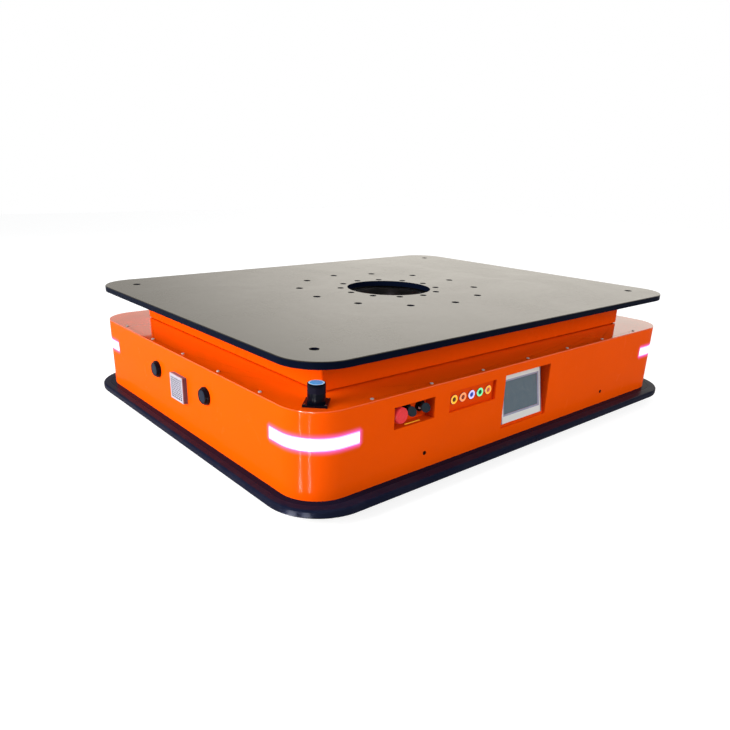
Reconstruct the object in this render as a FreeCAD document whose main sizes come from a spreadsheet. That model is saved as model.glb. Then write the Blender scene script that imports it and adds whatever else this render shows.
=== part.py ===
import FreeCAD, Part
import math
import os
from types import SimpleNamespace
import Sketcher
from FreeCAD import Placement, Rotation, Vector

# Low autonomous mobile robot that lifts and turns a rectangular deck.
# Frame: +X along the long side, +Y across, +Z up, origin on the floor under the middle.
# All lengths are millimetres.

SIZES = [
    # heights above the floor
    ("ground_clearance", 27.0, "underside of the bumper above the floor"),
    ("bumper_height", 21.0, "bumper profile, top is level with the base plate"),
    ("body_height", 209.0, "base plate to the top face of the top cover"),
    ("deck_rise", 91.0, "top cover to the underside of the lowered deck"),
    ("lift_travel", 60.0, "stroke of the lift"),
    # deck plate
    ("deck_length", 1500.0, "deck along X"),
    ("deck_width", 1170.0, "deck along Y"),
    ("deck_thick", 17.0, "deck plate"),
    ("deck_corner", 107.0, "corner radius of the deck"),
    ("deck_chamfer", 1.5, "chamfer round the top edge of the deck"),
    ("deck_bore", 272.0, "diameter of the centre opening"),
    ("inner_ring_pcd", 319.0, "pitch circle of the deck screws"),
    ("inner_ring_hole", 14.0, "counterbore of the deck screws"),
    ("outer_ring_pcd", 586.0, "pitch circle of the payload holes"),
    ("outer_ring_hole", 16.0, "payload hole diameter"),
    ("corner_pitch_x", 1310.0, "corner holes along X"),
    ("corner_pitch_y", 958.0, "corner holes along Y"),
    ("corner_hole", 16.0, "corner hole diameter"),
    ("deck_gap", 3.0, "running gap between the lift platform and the deck"),
    ("screw_head_depth", 10.0, "depth of the counterbores"),
    ("deck_screw_head", 13.0, "head diameter of the deck screws"),
    ("deck_screw_shank", 8.0, "shank diameter of the deck screws"),
    ("deck_screw_length", 30.0, "shank length of the deck screws"),
    ("deck_screw_play", 0.5, "shank in the deck"),
    ("deck_screw_socket", 3.6, "corner radius of the hexagon socket"),
    # body shell and cover
    ("body_length", 1496.0, "shell along X"),
    ("body_width", 1160.0, "shell along Y"),
    ("body_corner", 100.0, "corner radius of the shell"),
    ("shell_wall", 3.0, "sheet of the shell and the top cover"),
    ("flange_width", 24.0, "inward flange under the top cover"),
    ("skirt_length", 1254.0, "lift skirt along X"),
    ("skirt_width", 939.0, "lift skirt along Y"),
    ("skirt_wall", 3.0, "sheet of the skirt and the collar"),
    ("skirt_bend", 5.0, "outer bend radius of the skirt"),
    ("skirt_gap", 2.5, "skirt above the cover when the deck is down"),
    ("collar_gap", 2.5, "collar inside the skirt"),
    ("collar_overlap", 15.0, "collar still inside the skirt when the lift is up"),
    ("cover_screw_pitch_x", 187.5, "cover screws along X"),
    ("cover_screw_pitch_y", 192.0, "cover screws along Y"),
    ("cover_screw_inset", 13.0, "cover screws from the edge"),
    ("cover_screw_head", 9.0, "head diameter"),
    ("cover_screw_rise", 2.4, "head height"),
    ("cover_screw_shank", 5.0, "shank diameter"),
    ("cover_screw_length", 9.0, "shank length"),
    # base plate and bumper
    ("base_thick", 8.0, "base plate"),
    ("ledge", 18.0, "base plate beyond the shell"),
    ("bumper_length", 1572.0, "bumper along X"),
    ("bumper_width", 1252.0, "bumper along Y"),
    ("bumper_corner", 142.0, "outer corner radius of the bumper"),
    ("bumper_lip", 14.0, "bumper under the base plate"),
    ("bumper_edge", 6.0, "rounding of the outer edges"),
    ("bumper_seam", 1.0, "gap between the two halves"),
    # corner lights
    ("light_height", 31.0, "corner lights"),
    ("light_level", 118.0, "lower edge of the lights above the base plate"),
    ("light_leg", 42.0, "straight part beside the corner"),
    ("light_gap", 0.3, "play of the lights and sensors in the shell"),
    # control recesses on the long side
    ("tray_sheet", 2.0, "sheet of the recesses"),
    ("tray_level", 125.0, "lower edge of the switch recesses above the base plate"),
    ("tray_height", 54.0, "switch recesses"),
    ("estop_tray_x", -438.0, "middle of the stop recess"),
    ("estop_tray_length", 132.0, "stop recess along X"),
    ("estop_tray_depth", 30.0, "stop recess"),
    ("button_tray_x", -231.5, "middle of the button recess"),
    ("button_tray_length", 176.0, "button recess along X"),
    ("button_tray_depth", 10.0, "button recess"),
    ("hmi_x", -5.0, "middle of the touch panel"),
    ("hmi_length", 200.0, "panel recess along X"),
    ("hmi_height", 150.0, "panel recess"),
    ("hmi_level", 32.0, "lower edge of the panel recess above the base plate"),
    ("hmi_lip", 6.0, "depth at the lower edge"),
    ("hmi_depth", 44.0, "depth at the upper edge"),
    ("hmi_side", 3.0, "play beside the bezel"),
    ("hmi_bezel_thick", 6.0, "bezel"),
    ("hmi_bar_top", 17.0, "bezel above the screen"),
    ("hmi_bar_bottom", 22.0, "bezel below the screen"),
    ("hmi_bar_side", 11.0, "bezel beside the screen"),
    ("hmi_screen_thick", 4.0, "screen"),
    # switches
    ("panel_hole", 22.4, "hole of every switch"),
    ("switch_barrel", 21.8, "barrel of every switch"),
    ("switch_block", 13.5, "radius of the block behind a switch"),
    ("switch_level", 29.0, "switch axes above the lower edge of the recess"),
    ("estop_x", -480.0, "emergency stop"),
    ("estop_head", 40.0, "mushroom diameter"),
    ("estop_head_height", 19.0, "mushroom"),
    ("estop_collar", 16.5, "radius of the collar under the mushroom"),
    ("estop_collar_rise", 6.0, "collar above the panel"),
    ("estop_stem", 6.0, "stem radius, and how far it enters the mushroom"),
    ("estop_block", 42.0, "block behind the stop"),
    ("estop_stem_end", 36.0, "stem behind the panel"),
    ("estop_travel", 5.0, "press stroke"),
    ("selector_first_x", -441.0, "first selector"),
    ("selector_pitch", 46.0, "second selector from the first"),
    ("selector_size", 29.0, "selector bezel diameter"),
    ("selector_rim", 2.5, "bezel round the knob"),
    ("selector_rise", 5.0, "bezel above the panel"),
    ("selector_seat", 3.0, "recess floor under the knob, above the panel"),
    ("selector_play", 0.2, "knob to its bezel and seat"),
    ("selector_disc", 8.0, "top of the knob's disc above the panel"),
    ("selector_top", 17.0, "grip above the disc"),
    ("selector_grip_length", 26.0, "grip"),
    ("selector_grip_width", 14.0, "grip"),
    ("selector_axle", 4.0, "axle radius"),
    ("selector_axle_end", 20.0, "axle behind the panel"),
    ("selector_block", 40.0, "block behind a selector"),
    ("selector_turn", -45.0, "angle of the handles at rest"),
    ("button_pitch", 32.5, "push buttons"),
    ("button_size", 25.0, "push button bezel diameter"),
    ("button_rise", 3.5, "bezel above the panel"),
    ("button_cap", 16.0, "push button cap diameter"),
    ("button_inset", 0.3, "cap below its bezel"),
    ("button_cap_end", 18.0, "cap behind the panel"),
    ("button_block", 22.0, "block behind a push button"),
    ("service_hole", 3.5, "radius of the two holes in the front wall"),
    ("service_left", -398.0, "left hole"),
    ("service_right", 390.0, "right hole"),
    ("service_level", 40.0, "both holes above the base plate"),
    ("fit", 0.05, "radial play of shafts, caps and balls"),
    # sounder and round sensors on the short side
    ("sounder_width", 74.0, "sounder along Y"),
    ("sounder_height", 71.0, "sounder"),
    ("sounder_depth", 13.0, "sounder from the wall"),
    ("sounder_level", 118.0, "middle of the sounder above the base plate"),
    ("sounder_rim", 6.0, "frame round the grille"),
    ("sounder_recess", 1.5, "grille below its frame"),
    ("sensor_offset", 144.0, "round sensors from the middle"),
    ("sensor_level", 134.7, "round sensors above the base plate"),
    ("sensor_size", 47.0, "rear ring of the round sensors"),
    ("sensor_hole", 14.1, "radius of their holes in the wall"),
    ("sensor_rear", 7.0, "rear ring from the wall"),
    ("sensor_proud", 12.5, "front face from the wall"),
    ("sensor_step", 3.0, "rear ring beyond the front ring"),
    ("sensor_bevel", 1.5, "front edge"),
    ("sensor_depth", 25.0, "barrel behind the wall"),
    # corner scanners
    ("scanner_x", 679.0, "scanner axis"),
    ("scanner_y", 520.0, "scanner axis"),
    ("scanner_size", 40.0, "scanner housing diameter"),
    ("scanner_flange", 54.0, "square foot"),
    ("scanner_foot", 5.0, "foot thickness"),
    ("scanner_housing", 22.0, "housing above the foot"),
    ("scanner_window", 14.0, "window"),
    ("scanner_cap", 7.0, "cap"),
    ("scanner_wall", 3.0, "window wall"),
    ("scanner_axle", 5.0, "rotor axle radius"),
    ("scanner_edge", 1.0, "bevel of the cap"),
    ("rotor_end", 1.5, "rotor below the cap"),
    ("rotor_side", 2.0, "rotor to the window"),
    ("rotor_lift", 0.5, "rotor above the housing"),
    # drive wheels
    ("wheel_radius", 100.0, "drive wheels"),
    ("wheel_width", 55.0, "drive wheels"),
    ("wheel_track", 940.0, "between the drive wheels"),
    ("hub_radius", 80.0, "drive wheel hub"),
    ("hub_rim", 14.0, "outer rim of the hub's dish"),
    ("hub_dish", 12.0, "depth of the dish"),
    ("hub_slant", 8.0, "slanting wall of the dish"),
    ("hub_boss", 10.0, "boss round the shaft"),
    ("tyre_edge", 3.0, "bevel of the tyres"),
    ("drive_shaft", 15.0, "radius of the drive shaft"),
    ("drive_gap", 9.5, "motor plate to the wheel"),
    ("shaft_depth", 20.0, "shaft inside its gearbox"),
    ("gearmotor_length", 220.0, "drive gearmotor"),
    ("gearbox_length", 80.0, "its gearbox"),
    ("gearbox_radius", 50.0, "its gearbox"),
    ("drive_motor_radius", 42.0, "its motor"),
    # casters
    ("caster_x", 620.0, "swivel axes"),
    ("caster_y", 440.0, "swivel axes"),
    ("caster_radius", 50.0, "caster wheel"),
    ("caster_width", 32.0, "caster wheel"),
    ("caster_trail", 35.0, "wheel axle behind the swivel axis"),
    ("caster_axle", 6.0, "axle radius"),
    ("caster_axle_end", 3.0, "axle beyond the fork"),
    ("caster_hub", 14.0, "wheel hub radius"),
    ("caster_hub_proud", 2.0, "wheel hub beyond the tyre"),
    ("caster_disc", 30.0, "radius of the wheel's disc"),
    ("caster_disc_depth", 3.0, "disc inside the tyre, and bevel of the tyre"),
    ("fork_leg", 6.0, "fork leg"),
    ("fork_gap", 3.0, "fork leg to the wheel"),
    ("fork_half", 14.0, "half of the leg's width"),
    ("crown_thick", 8.0, "crown and nut"),
    ("crown_rim", 8.0, "crown beyond the legs"),
    ("kingpin", 10.0, "swivel pin radius"),
    ("kingpin_nut", 16.0, "nut radius"),
    ("kingpin_lift", 0.3, "nut above the tower"),
    ("caster_play", 0.5, "fork under its plate"),
    ("caster_well", 92.0, "radius of the opening in the base plate"),
    # frame
    ("tower_size", 200.0, "caster towers"),
    ("tower_wall", 6.0, "caster towers"),
    ("tower_height", 75.0, "caster towers above the base plate"),
    ("tower_plate", 8.0, "top plate of the towers"),
    ("rail_width", 50.0, "main rails"),
    ("rail_height", 60.0, "main rails"),
    ("side_rail_y", 528.0, "side rails"),
    ("cross_rail_x", 495.0, "cross rails that carry the guide posts"),
    ("middle_rail_x", 125.0, "rails beside the drive wheels"),
    ("middle_rail_width", 30.0, "rails beside the drive wheels"),
    ("motor_plate", 8.0, "plates that carry the drive motors"),
    ("motor_plate_height", 104.0, "plates that carry the drive motors"),
    # lift
    ("post_radius", 15.0, "guide posts"),
    ("post_y", 300.0, "guide posts"),
    ("post_head", 3.0, "guide post below the platform"),
    ("bush_radius", 22.0, "guide bushes"),
    ("bush_length", 92.0, "guide bushes"),
    ("bush_housing", 30.0, "radius round the bushes"),
    ("platform_thick", 8.0, "top plate of the lift"),
    ("rib_height", 40.0, "ribs under the platform"),
    ("rib_width", 50.0, "ribs under the platform"),
    ("seat_reach", 300.0, "half of the bearing seat"),
    ("jack_x", 400.0, "ball screws"),
    ("jack_screw", 12.5, "ball screw radius"),
    ("jack_journal", 10.0, "ball screw journal radius"),
    ("jack_nut", 20.0, "nut radius"),
    ("jack_nut_flange", 32.0, "nut flange radius"),
    ("jack_nut_length", 40.0, "nut above its flange"),
    ("jack_flange_thick", 10.0, "nut flange"),
    ("jack_drop", 82.0, "nut flange below the ribs"),
    ("jack_box", 110.0, "gearbox of a jack"),
    ("jack_box_height", 75.0, "gearbox of a jack"),
    ("jack_motor", 160.0, "motor of a jack"),
    ("jack_motor_inset", 2.0, "motor below the gearbox top"),
    ("jack_bore_floor", 20.0, "bottom of the screw's bore"),
    ("jack_end", 7.0, "screw below the platform"),
    ("nut_housing", 4.0, "housing round the nut flange"),
    ("screw_room", 2.0, "space round the screw"),
    # slewing ring
    ("gear_module", 4.0, "slewing teeth"),
    ("ring_teeth", 90.0, "teeth of the ring"),
    ("pinion_teeth", 18.0, "teeth of the pinion"),
    ("gear_backlash", 0.4, "play between the teeth"),
    ("gear_spread", 0.3, "added to the centre distance"),
    ("ball_circle", 141.0, "radius of the ball circle"),
    ("ball_radius", 8.0, "bearing balls"),
    ("race_gap", 3.0, "between the two races"),
    ("inner_race_bore", 118.0, "radius of the inner race"),
    ("race_height", 37.0, "outer race"),
    ("inner_race_drop", 5.0, "inner race below the deck"),
    ("pinion_height", 30.0, "pinion"),
    ("pinion_shaft", 12.0, "pinion shaft radius"),
    ("pinion_lift", 8.0, "pinion above the seat"),
    ("pinion_shaft_end", 40.0, "shaft inside its motor"),
    ("gear_room", 8.0, "space round the teeth"),
    ("cage_side", 1.5, "cage beside the balls"),
    ("turn_motor_radius", 45.0, "turning motor"),
    ("turn_motor_length", 132.0, "turning motor"),
    # energy and control
    ("box_near", 146.0, "battery and control box start from the middle"),
    ("box_far", 330.0, "battery and control box end from the middle"),
    ("box_half_width", 185.0, "battery and control box"),
    ("battery_height", 120.0, "battery"),
    ("control_height", 94.0, "control box"),
    ("lid_rim", 4.0, "lid beyond its case"),
    ("lid_low", 12.0, "underside of the lid's rim below the top"),
    ("lid_high", 6.0, "top of the lid's rim below the top"),
]

RING_HOLES = 12
BALLS = 30
BUTTONS = 5
COVER_SCREWS_LONG = 7
COVER_SCREWS_SHORT = 5
FLANK_POINTS = 5
PRESSURE_ANGLE = math.radians(20.0)
SLACK = 1.0            # how far a cutting tool reaches past its face, and the smallest step of a profile
MUSHROOM = ((0.6, 0.0), (0.95, 0.24), (1.0, 0.42), (1.0, 0.63), (0.86, 0.84), (0.5, 0.96), (0.0, 1.0))

DIRECTIONS = {
    "+z": Rotation(),
    "+x": Rotation(Vector(0, 1, 0), 90),
    "-x": Rotation(Vector(0, 1, 0), -90),
    "+y": Rotation(Vector(1, 0, 0), -90),
    "-y": Rotation(Vector(1, 0, 0), 90),
}
SIDES = (("left", -1), ("right", 1))
CORNERS = (("front_left", -1, -1), ("front_right", 1, -1), ("rear_left", -1, 1), ("rear_right", 1, 1))


# ---------------------------------------------------------------- sizes
class Size:
    """A length together with the spreadsheet expression that gives it."""

    def __init__(self, value, text):
        self.value = value
        self.text = text

    @staticmethod
    def of(number):
        if isinstance(number, Size):
            return number
        return Size(float(number), f"({float(number)})")

    def join(self, other, sign, value):
        return Size(value, f"({self.text} {sign} {other.text})")

    def __add__(self, other):
        other = Size.of(other)
        return self.join(other, "+", self.value + other.value)

    def __sub__(self, other):
        other = Size.of(other)
        return self.join(other, "-", self.value - other.value)

    def __mul__(self, other):
        other = Size.of(other)
        return self.join(other, "*", self.value * other.value)

    def __truediv__(self, other):
        other = Size.of(other)
        return self.join(other, "/", self.value / other.value)

    def __radd__(self, other):
        return Size.of(other) + self

    def __rsub__(self, other):
        return Size.of(other) - self

    def __rmul__(self, other):
        return Size.of(other) * self

    def __neg__(self):
        return Size.of(-1) * self


doc = FreeCAD.newDocument("mobile_robot")
sheet = doc.addObject("Spreadsheet::Sheet", "Sizes")
s = SimpleNamespace()
for row, (alias, number, note) in enumerate(SIZES, start=1):
    sheet.set(f"A{row}", note)
    sheet.set(f"B{row}", str(number))
    sheet.setAlias(f"B{row}", alias)
    setattr(s, alias, Size(number, f"Sizes.{alias}"))
doc.recompute()

PARTS = {}


def bind(target, prop, size):
    """Tie a property to the spreadsheet."""
    target.setExpression(prop, Size.of(size).text)


def publish(node, made):
    """Name a finished sub-part."""
    made.Label = node
    PARTS[node] = made
    return made


# ---------------------------------------------------------------- sketches
H_AXIS, V_AXIS, ORIGIN = -1, -2, (-1, 1)
START, END, CENTRE = 1, 2, 3


def point(x, y):
    return Vector(Size.of(x).value, Size.of(y).value, 0)


def pin(sketch, element, which, x, y):
    """Fix one point of a sketch element at (x, y)."""
    for kind, distance, axis in (("DistanceX", x, V_AXIS), ("DistanceY", y, H_AXIS)):
        if not isinstance(distance, Size) and distance == 0:
            sketch.addConstraint(Sketcher.Constraint("PointOnObject", element, which, axis))
            continue
        distance = Size.of(distance)
        rule = Sketcher.Constraint(kind, *ORIGIN, element, which, distance.value)
        index = sketch.addConstraint(rule)
        sketch.setExpression(f"Constraints[{index}]", distance.text)


def set_radius(sketch, element, radius):
    radius = Size.of(radius)
    index = sketch.addConstraint(Sketcher.Constraint("Radius", element, radius.value))
    sketch.setExpression(f"Constraints[{index}]", radius.text)


def draw_polygon(sketch, points):
    first = sketch.GeometryCount
    count = len(points)
    for i in range(count):
        line = Part.LineSegment(point(*points[i]), point(*points[(i + 1) % count]))
        sketch.addGeometry(line, False)
    for i in range(count):
        following = first + (i + 1) % count
        sketch.addConstraint(Sketcher.Constraint("Coincident", first + i, END, following, START))
    for i in range(count):
        pin(sketch, first + i, START, *points[i])


def draw_rectangle(sketch, x, y):
    draw_polygon(sketch, [(x[0], y[0]), (x[1], y[0]), (x[1], y[1]), (x[0], y[1])])


def draw_circle(sketch, x, y, radius):
    element = sketch.addGeometry(Part.Circle(point(x, y), Vector(0, 0, 1), Size.of(radius).value), False)
    pin(sketch, element, CENTRE, x, y)
    set_radius(sketch, element, radius)


def draw_rounded(sketch, length, width, radius):
    """A rectangle about the origin with round corners: four arcs joined by four lines."""
    length, width, radius = Size.of(length), Size.of(width), Size.of(radius)
    quarters = ((1, 1), (-1, 1), (-1, -1), (1, -1))
    arcs = []
    for turn, (sx, sy) in enumerate(quarters):
        x = (length / 2 - radius) * sx
        y = (width / 2 - radius) * sy
        circle = Part.Circle(point(x, y), Vector(0, 0, 1), radius.value)
        arc = Part.ArcOfCircle(circle, turn * math.pi / 2, (turn + 1) * math.pi / 2)
        element = sketch.addGeometry(arc, False)
        pin(sketch, element, CENTRE, x, y)
        set_radius(sketch, element, radius)
        ends = ("Horizontal", "Vertical") if turn % 2 == 0 else ("Vertical", "Horizontal")
        for which, rule in zip((START, END), ends):
            sketch.addConstraint(Sketcher.Constraint(rule, element, CENTRE, element, which))
        arcs.append((element, arc))
    for (here, arc), (there, following) in zip(arcs, arcs[1:] + arcs[:1]):
        line = sketch.addGeometry(Part.LineSegment(arc.EndPoint, following.StartPoint), False)
        sketch.addConstraint(Sketcher.Constraint("Coincident", here, END, line, START))
        sketch.addConstraint(Sketcher.Constraint("Coincident", line, END, there, START))


# ---------------------------------------------------------------- part design bodies
def new_body(name, x=0, y=0, z=0, direction="+z"):
    body = doc.addObject("PartDesign::Body", name)
    body.Placement = Placement(point(x, y) + Vector(0, 0, Size.of(z).value), DIRECTIONS[direction])
    for axis, place in (("x", x), ("y", y), ("z", z)):
        bind(body, f"Placement.Base.{axis}", place)
    return body


def new_sketch(body, name, plane="XY_Plane", offset=0):
    sketch = body.newObject("Sketcher::SketchObject", name)
    support = next(f for f in body.Origin.OriginFeatures if f.Role == plane)
    sketch.AttachmentSupport = [(support, "")]
    sketch.MapMode = "FlatFace"
    if isinstance(offset, Size) or offset:
        bind(sketch, "AttachmentOffset.Base.z", offset)
    return sketch


def pad(body, sketch, length, reverse=False):
    feature = body.newObject("PartDesign::Pad", f"{sketch.Name}_pad")
    feature.Profile = sketch
    feature.Reversed = reverse
    bind(feature, "Length", length)
    doc.recompute()
    return feature


def pocket(body, sketch, length, reverse=False):
    """Cut a sketch out of a body, and make sure that it really cuts."""
    doc.recompute()
    before = body.Shape.Volume
    feature = body.newObject("PartDesign::Pocket", f"{sketch.Name}_pocket")
    feature.Profile = sketch
    feature.Reversed = reverse
    bind(feature, "Length", length)
    doc.recompute()
    if body.Shape.Volume >= before:
        raise RuntimeError(f"{feature.Name} cuts nothing")
    return feature


def polar(body, feature, count):
    """Repeat a feature round the body's own Z axis."""
    pattern = body.newObject("PartDesign::PolarPattern", f"{feature.Name}_ring")
    pattern.Originals = [feature]
    pattern.Axis = (next(f for f in body.Origin.OriginFeatures if f.Role == "Z_Axis"), [""])
    pattern.Angle = 360
    pattern.Occurrences = count
    body.Tip = pattern
    doc.recompute()
    return pattern


def turned(name, profile, x=0, y=0, z=0, direction="+z"):
    """A body of revolution: the profile is a list of (radius, height) along its axis."""
    body = new_body(name, x, y, z, direction)
    sketch = new_sketch(body, f"{name}_profile", "XZ_Plane")
    draw_polygon(sketch, profile)
    feature = body.newObject("PartDesign::Revolution", f"{name}_turn")
    feature.Profile = sketch
    feature.ReferenceAxis = (sketch, ["V_Axis"])
    feature.Angle = 360
    doc.recompute()
    return body


def dress(body, kind, name, levels, prop, size):
    """Fillet or chamfer the level edges of a body's newest feature at the given heights."""
    base = body.Tip
    picked = []
    for number, edge in enumerate(base.Shape.Edges, start=1):
        low, high = edge.BoundBox.ZMin, edge.BoundBox.ZMax
        if any(abs(low - level) < 1e-4 and abs(high - level) < 1e-4 for level in levels):
            picked.append(f"Edge{number}")
    feature = body.newObject(kind, name)
    feature.Base = (base, picked)
    bind(feature, prop, size)
    doc.recompute()


# ---------------------------------------------------------------- part primitives
def box(name, x, y, z):
    solid = doc.addObject("Part::Box", name)
    for side, (low, high), axis in (("Length", x, "x"), ("Width", y, "y"), ("Height", z, "z")):
        bind(solid, side, Size.of(high) - low)
        bind(solid, f"Placement.Base.{axis}", low)
    return solid


def cylinder(name, radius, start, length, direction="+z"):
    solid = doc.addObject("Part::Cylinder", name)
    solid.Placement = Placement(Vector(), DIRECTIONS[direction])
    bind(solid, "Radius", radius)
    bind(solid, "Height", length)
    for axis, place in zip("xyz", start):
        bind(solid, f"Placement.Base.{axis}", place)
    return solid


def sphere(name, radius, centre):
    solid = doc.addObject("Part::Sphere", name)
    bind(solid, "Radius", radius)
    for axis, place in zip("xyz", centre):
        bind(solid, f"Placement.Base.{axis}", place)
    return solid


def torus(name, ring, radius, z):
    solid = doc.addObject("Part::Torus", name)
    bind(solid, "Radius1", ring)
    bind(solid, "Radius2", radius)
    bind(solid, "Placement.Base.z", z)
    return solid


def fuse(name, *shapes):
    joined = doc.addObject("Part::MultiFuse", name)
    joined.Shapes = list(shapes)
    joined.Refine = True
    return joined


def group(name, *shapes):
    held = doc.addObject("Part::Compound", name)
    held.Links = list(shapes)
    return held


def cut(name, base, *tools):
    result = doc.addObject("Part::Cut", name)
    result.Base = base
    result.Tool = tools[0] if len(tools) == 1 else fuse(f"{name}_tools", *tools)
    doc.recompute()
    return result


def common(name, first, second):
    result = doc.addObject("Part::Common", name)
    result.Base = first
    result.Tool = second
    return result


# ---------------------------------------------------------------- levels that pieces share
base_top = s.ground_clearance + s.bumper_height
base_bottom = base_top - s.base_thick
body_top = base_top + s.body_height
cover_bottom = body_top - s.shell_wall
deck_bottom = body_top + s.deck_rise
deck_top = deck_bottom + s.deck_thick
platform_top = deck_bottom - s.deck_gap
platform_bottom = platform_top - s.platform_thick
rib_bottom = platform_bottom - s.rib_height
seat_top = rib_bottom + s.platform_thick
race_top = deck_bottom
race_bottom = race_top - s.race_height
ball_level = (race_bottom + race_top) / 2
front_face = -s.body_width / 2
front_inside = front_face + s.shell_wall
side_face = -s.body_length / 2
tray_bottom = base_top + s.tray_level
tray_top = tray_bottom + s.tray_height
switch_z = tray_bottom + s.switch_level
estop_panel = front_face + s.estop_tray_depth
button_panel = front_face + s.button_tray_depth
hmi_bottom = base_top + s.hmi_level
hmi_top = hmi_bottom + s.hmi_height
collar_length = s.skirt_length - 2 * s.skirt_wall - 2 * s.collar_gap
collar_width = s.skirt_width - 2 * s.skirt_wall - 2 * s.collar_gap
collar_bend = s.skirt_bend - s.skirt_wall / 2
plate_length = s.body_length + 2 * s.ledge
plate_width = s.body_width + 2 * s.ledge
plate_corner = s.body_corner + s.ledge


def button_positions():
    """Distances of the push buttons along X."""
    return [s.button_tray_x + s.button_pitch * (i - (BUTTONS - 1) / 2) for i in range(BUTTONS)]


def selector_positions():
    return [s.selector_first_x, s.selector_first_x + s.selector_pitch]


def cover_screw_places():
    """Screws along all four sides of the top cover."""
    places = []
    for side in (-1, 1):
        y = (s.body_width / 2 - s.cover_screw_inset) * side
        for i in range(COVER_SCREWS_LONG):
            places.append((s.cover_screw_pitch_x * (i - (COVER_SCREWS_LONG - 1) / 2), y))
        x = (s.body_length / 2 - s.cover_screw_inset) * side
        for i in range(COVER_SCREWS_SHORT):
            places.append((x, s.cover_screw_pitch_y * (i - (COVER_SCREWS_SHORT - 1) / 2)))
    return places


def scanner_places():
    return [(-s.scanner_x, -s.scanner_y), (s.scanner_x, s.scanner_y)]


def jack_places():
    return [(name, s.jack_x * side) for name, side in SIDES]


def post_places():
    return [(name, s.cross_rail_x * sx, s.post_y * sy) for name, sx, sy in CORNERS]


# ---------------------------------------------------------------- base plate, frame, bumper
def make_base_plate():
    body = new_body("base_plate", z=base_bottom)
    outline = new_sketch(body, "base_outline")
    draw_rounded(outline, plate_length, plate_width, plate_corner)
    pad(body, outline, s.base_thick)
    openings = new_sketch(body, "base_openings", offset=s.base_thick)
    for side in (-1, 1):
        middle = s.wheel_track / 2 * side
        half = s.wheel_width / 2 + s.drive_gap
        draw_rectangle(openings, (-s.wheel_radius, s.wheel_radius), (middle - half, middle + half))
    for _, sx, sy in CORNERS:
        draw_circle(openings, s.caster_x * sx, s.caster_y * sy, s.caster_well)
    pocket(body, openings, s.base_thick)
    publish("base_plate", body)


def tube(name, x, y, height, along):
    """A square tube on the base plate, open at both ends."""
    wall = s.tower_wall
    room = [(Size.of(start) - SLACK, Size.of(end) + SLACK) if axis == along
            else (Size.of(start) + wall, Size.of(end) - wall)
            for axis, (start, end) in (("x", x), ("y", y))]
    outside = box(f"{name}_outside", x, y, (base_top, base_top + height))
    inside = box(f"{name}_inside", *room, (base_top + wall, base_top + height - wall))
    return cut(name, outside, inside)


def make_frame():
    pieces = []
    tower_top = base_top + s.tower_height
    half = s.tower_size / 2
    inner = half - s.tower_wall
    for name, sx, sy in CORNERS:
        x, y = s.caster_x * sx, s.caster_y * sy
        outside = box(f"tower_{name}_outside", (x - half, x + half), (y - half, y + half),
                      (base_top, tower_top))
        room = box(f"tower_{name}_room", (x - inner, x + inner), (y - inner, y + inner),
                   (base_top - SLACK, tower_top - s.tower_plate))
        bore = cylinder(f"tower_{name}_bore", s.kingpin + s.fit,
                        (x, y, tower_top - s.tower_plate - SLACK), s.tower_plate + 2 * SLACK)
        pieces.append(cut(f"tower_{name}", outside, room, bore))
    reach = s.caster_x - half
    rail = s.rail_width / 2
    inner_y = s.side_rail_y - rail
    for name, side in SIDES:
        y = s.side_rail_y * side
        pieces.append(tube(f"side_rail_{name}", (-reach, reach), (y - rail, y + rail), s.rail_height, "x"))
        for kind, place, width in (("cross", s.cross_rail_x, s.rail_width),
                                   ("middle", s.middle_rail_x, s.middle_rail_width)):
            x = place * side
            pieces.append(tube(f"{kind}_rail_{name}", (x - width / 2, x + width / 2),
                               (-inner_y, inner_y), s.rail_height, "y"))
    between = s.middle_rail_x - s.middle_rail_width / 2
    for name, side in SIDES:
        face = (s.wheel_track / 2 - s.wheel_width / 2 - s.drive_gap) * side
        back = face - s.motor_plate * side
        y = (back, face) if side > 0 else (face, back)
        blank = box(f"motor_plate_{name}_blank", (-between, between), y,
                    (base_top, base_top + s.motor_plate_height))
        bore = cylinder(f"motor_plate_{name}_bore", s.drive_shaft * 2,
                        (0, y[0] - SLACK, s.wheel_radius), s.motor_plate + 2 * SLACK, "+y")
        pieces.append(cut(f"motor_plate_{name}", blank, bore))
    publish("chassis_frame", group("chassis_frame", *pieces))


def make_bumper():
    body = new_body("bumper_ring", z=s.ground_clearance)
    outer = new_sketch(body, "bumper_outer")
    draw_rounded(outer, s.bumper_length, s.bumper_width, s.bumper_corner)
    pad(body, outer, s.bumper_height)
    dress(body, "PartDesign::Fillet", "bumper_rounding", (0.0, s.bumper_height.value),
          "Radius", s.bumper_edge)
    seat = new_sketch(body, "bumper_seat", offset=s.bumper_height)
    draw_rounded(seat, plate_length, plate_width, plate_corner)
    pocket(body, seat, s.base_thick)
    middle = new_sketch(body, "bumper_middle", offset=s.bumper_height)
    draw_rounded(middle, plate_length - 2 * s.bumper_lip, plate_width - 2 * s.bumper_lip,
                 plate_corner - s.bumper_lip)
    pocket(body, middle, s.bumper_height)
    for name, side in SIDES:
        near = s.bumper_seam / 2 * side
        far = s.bumper_length * side
        x = (near, far) if side > 0 else (far, near)
        half = box(f"bumper_{name}_half", x, (-s.bumper_width, s.bumper_width), (0, body_top))
        publish(f"bumper_{name}", common(f"bumper_{name}", body, half))


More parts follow.
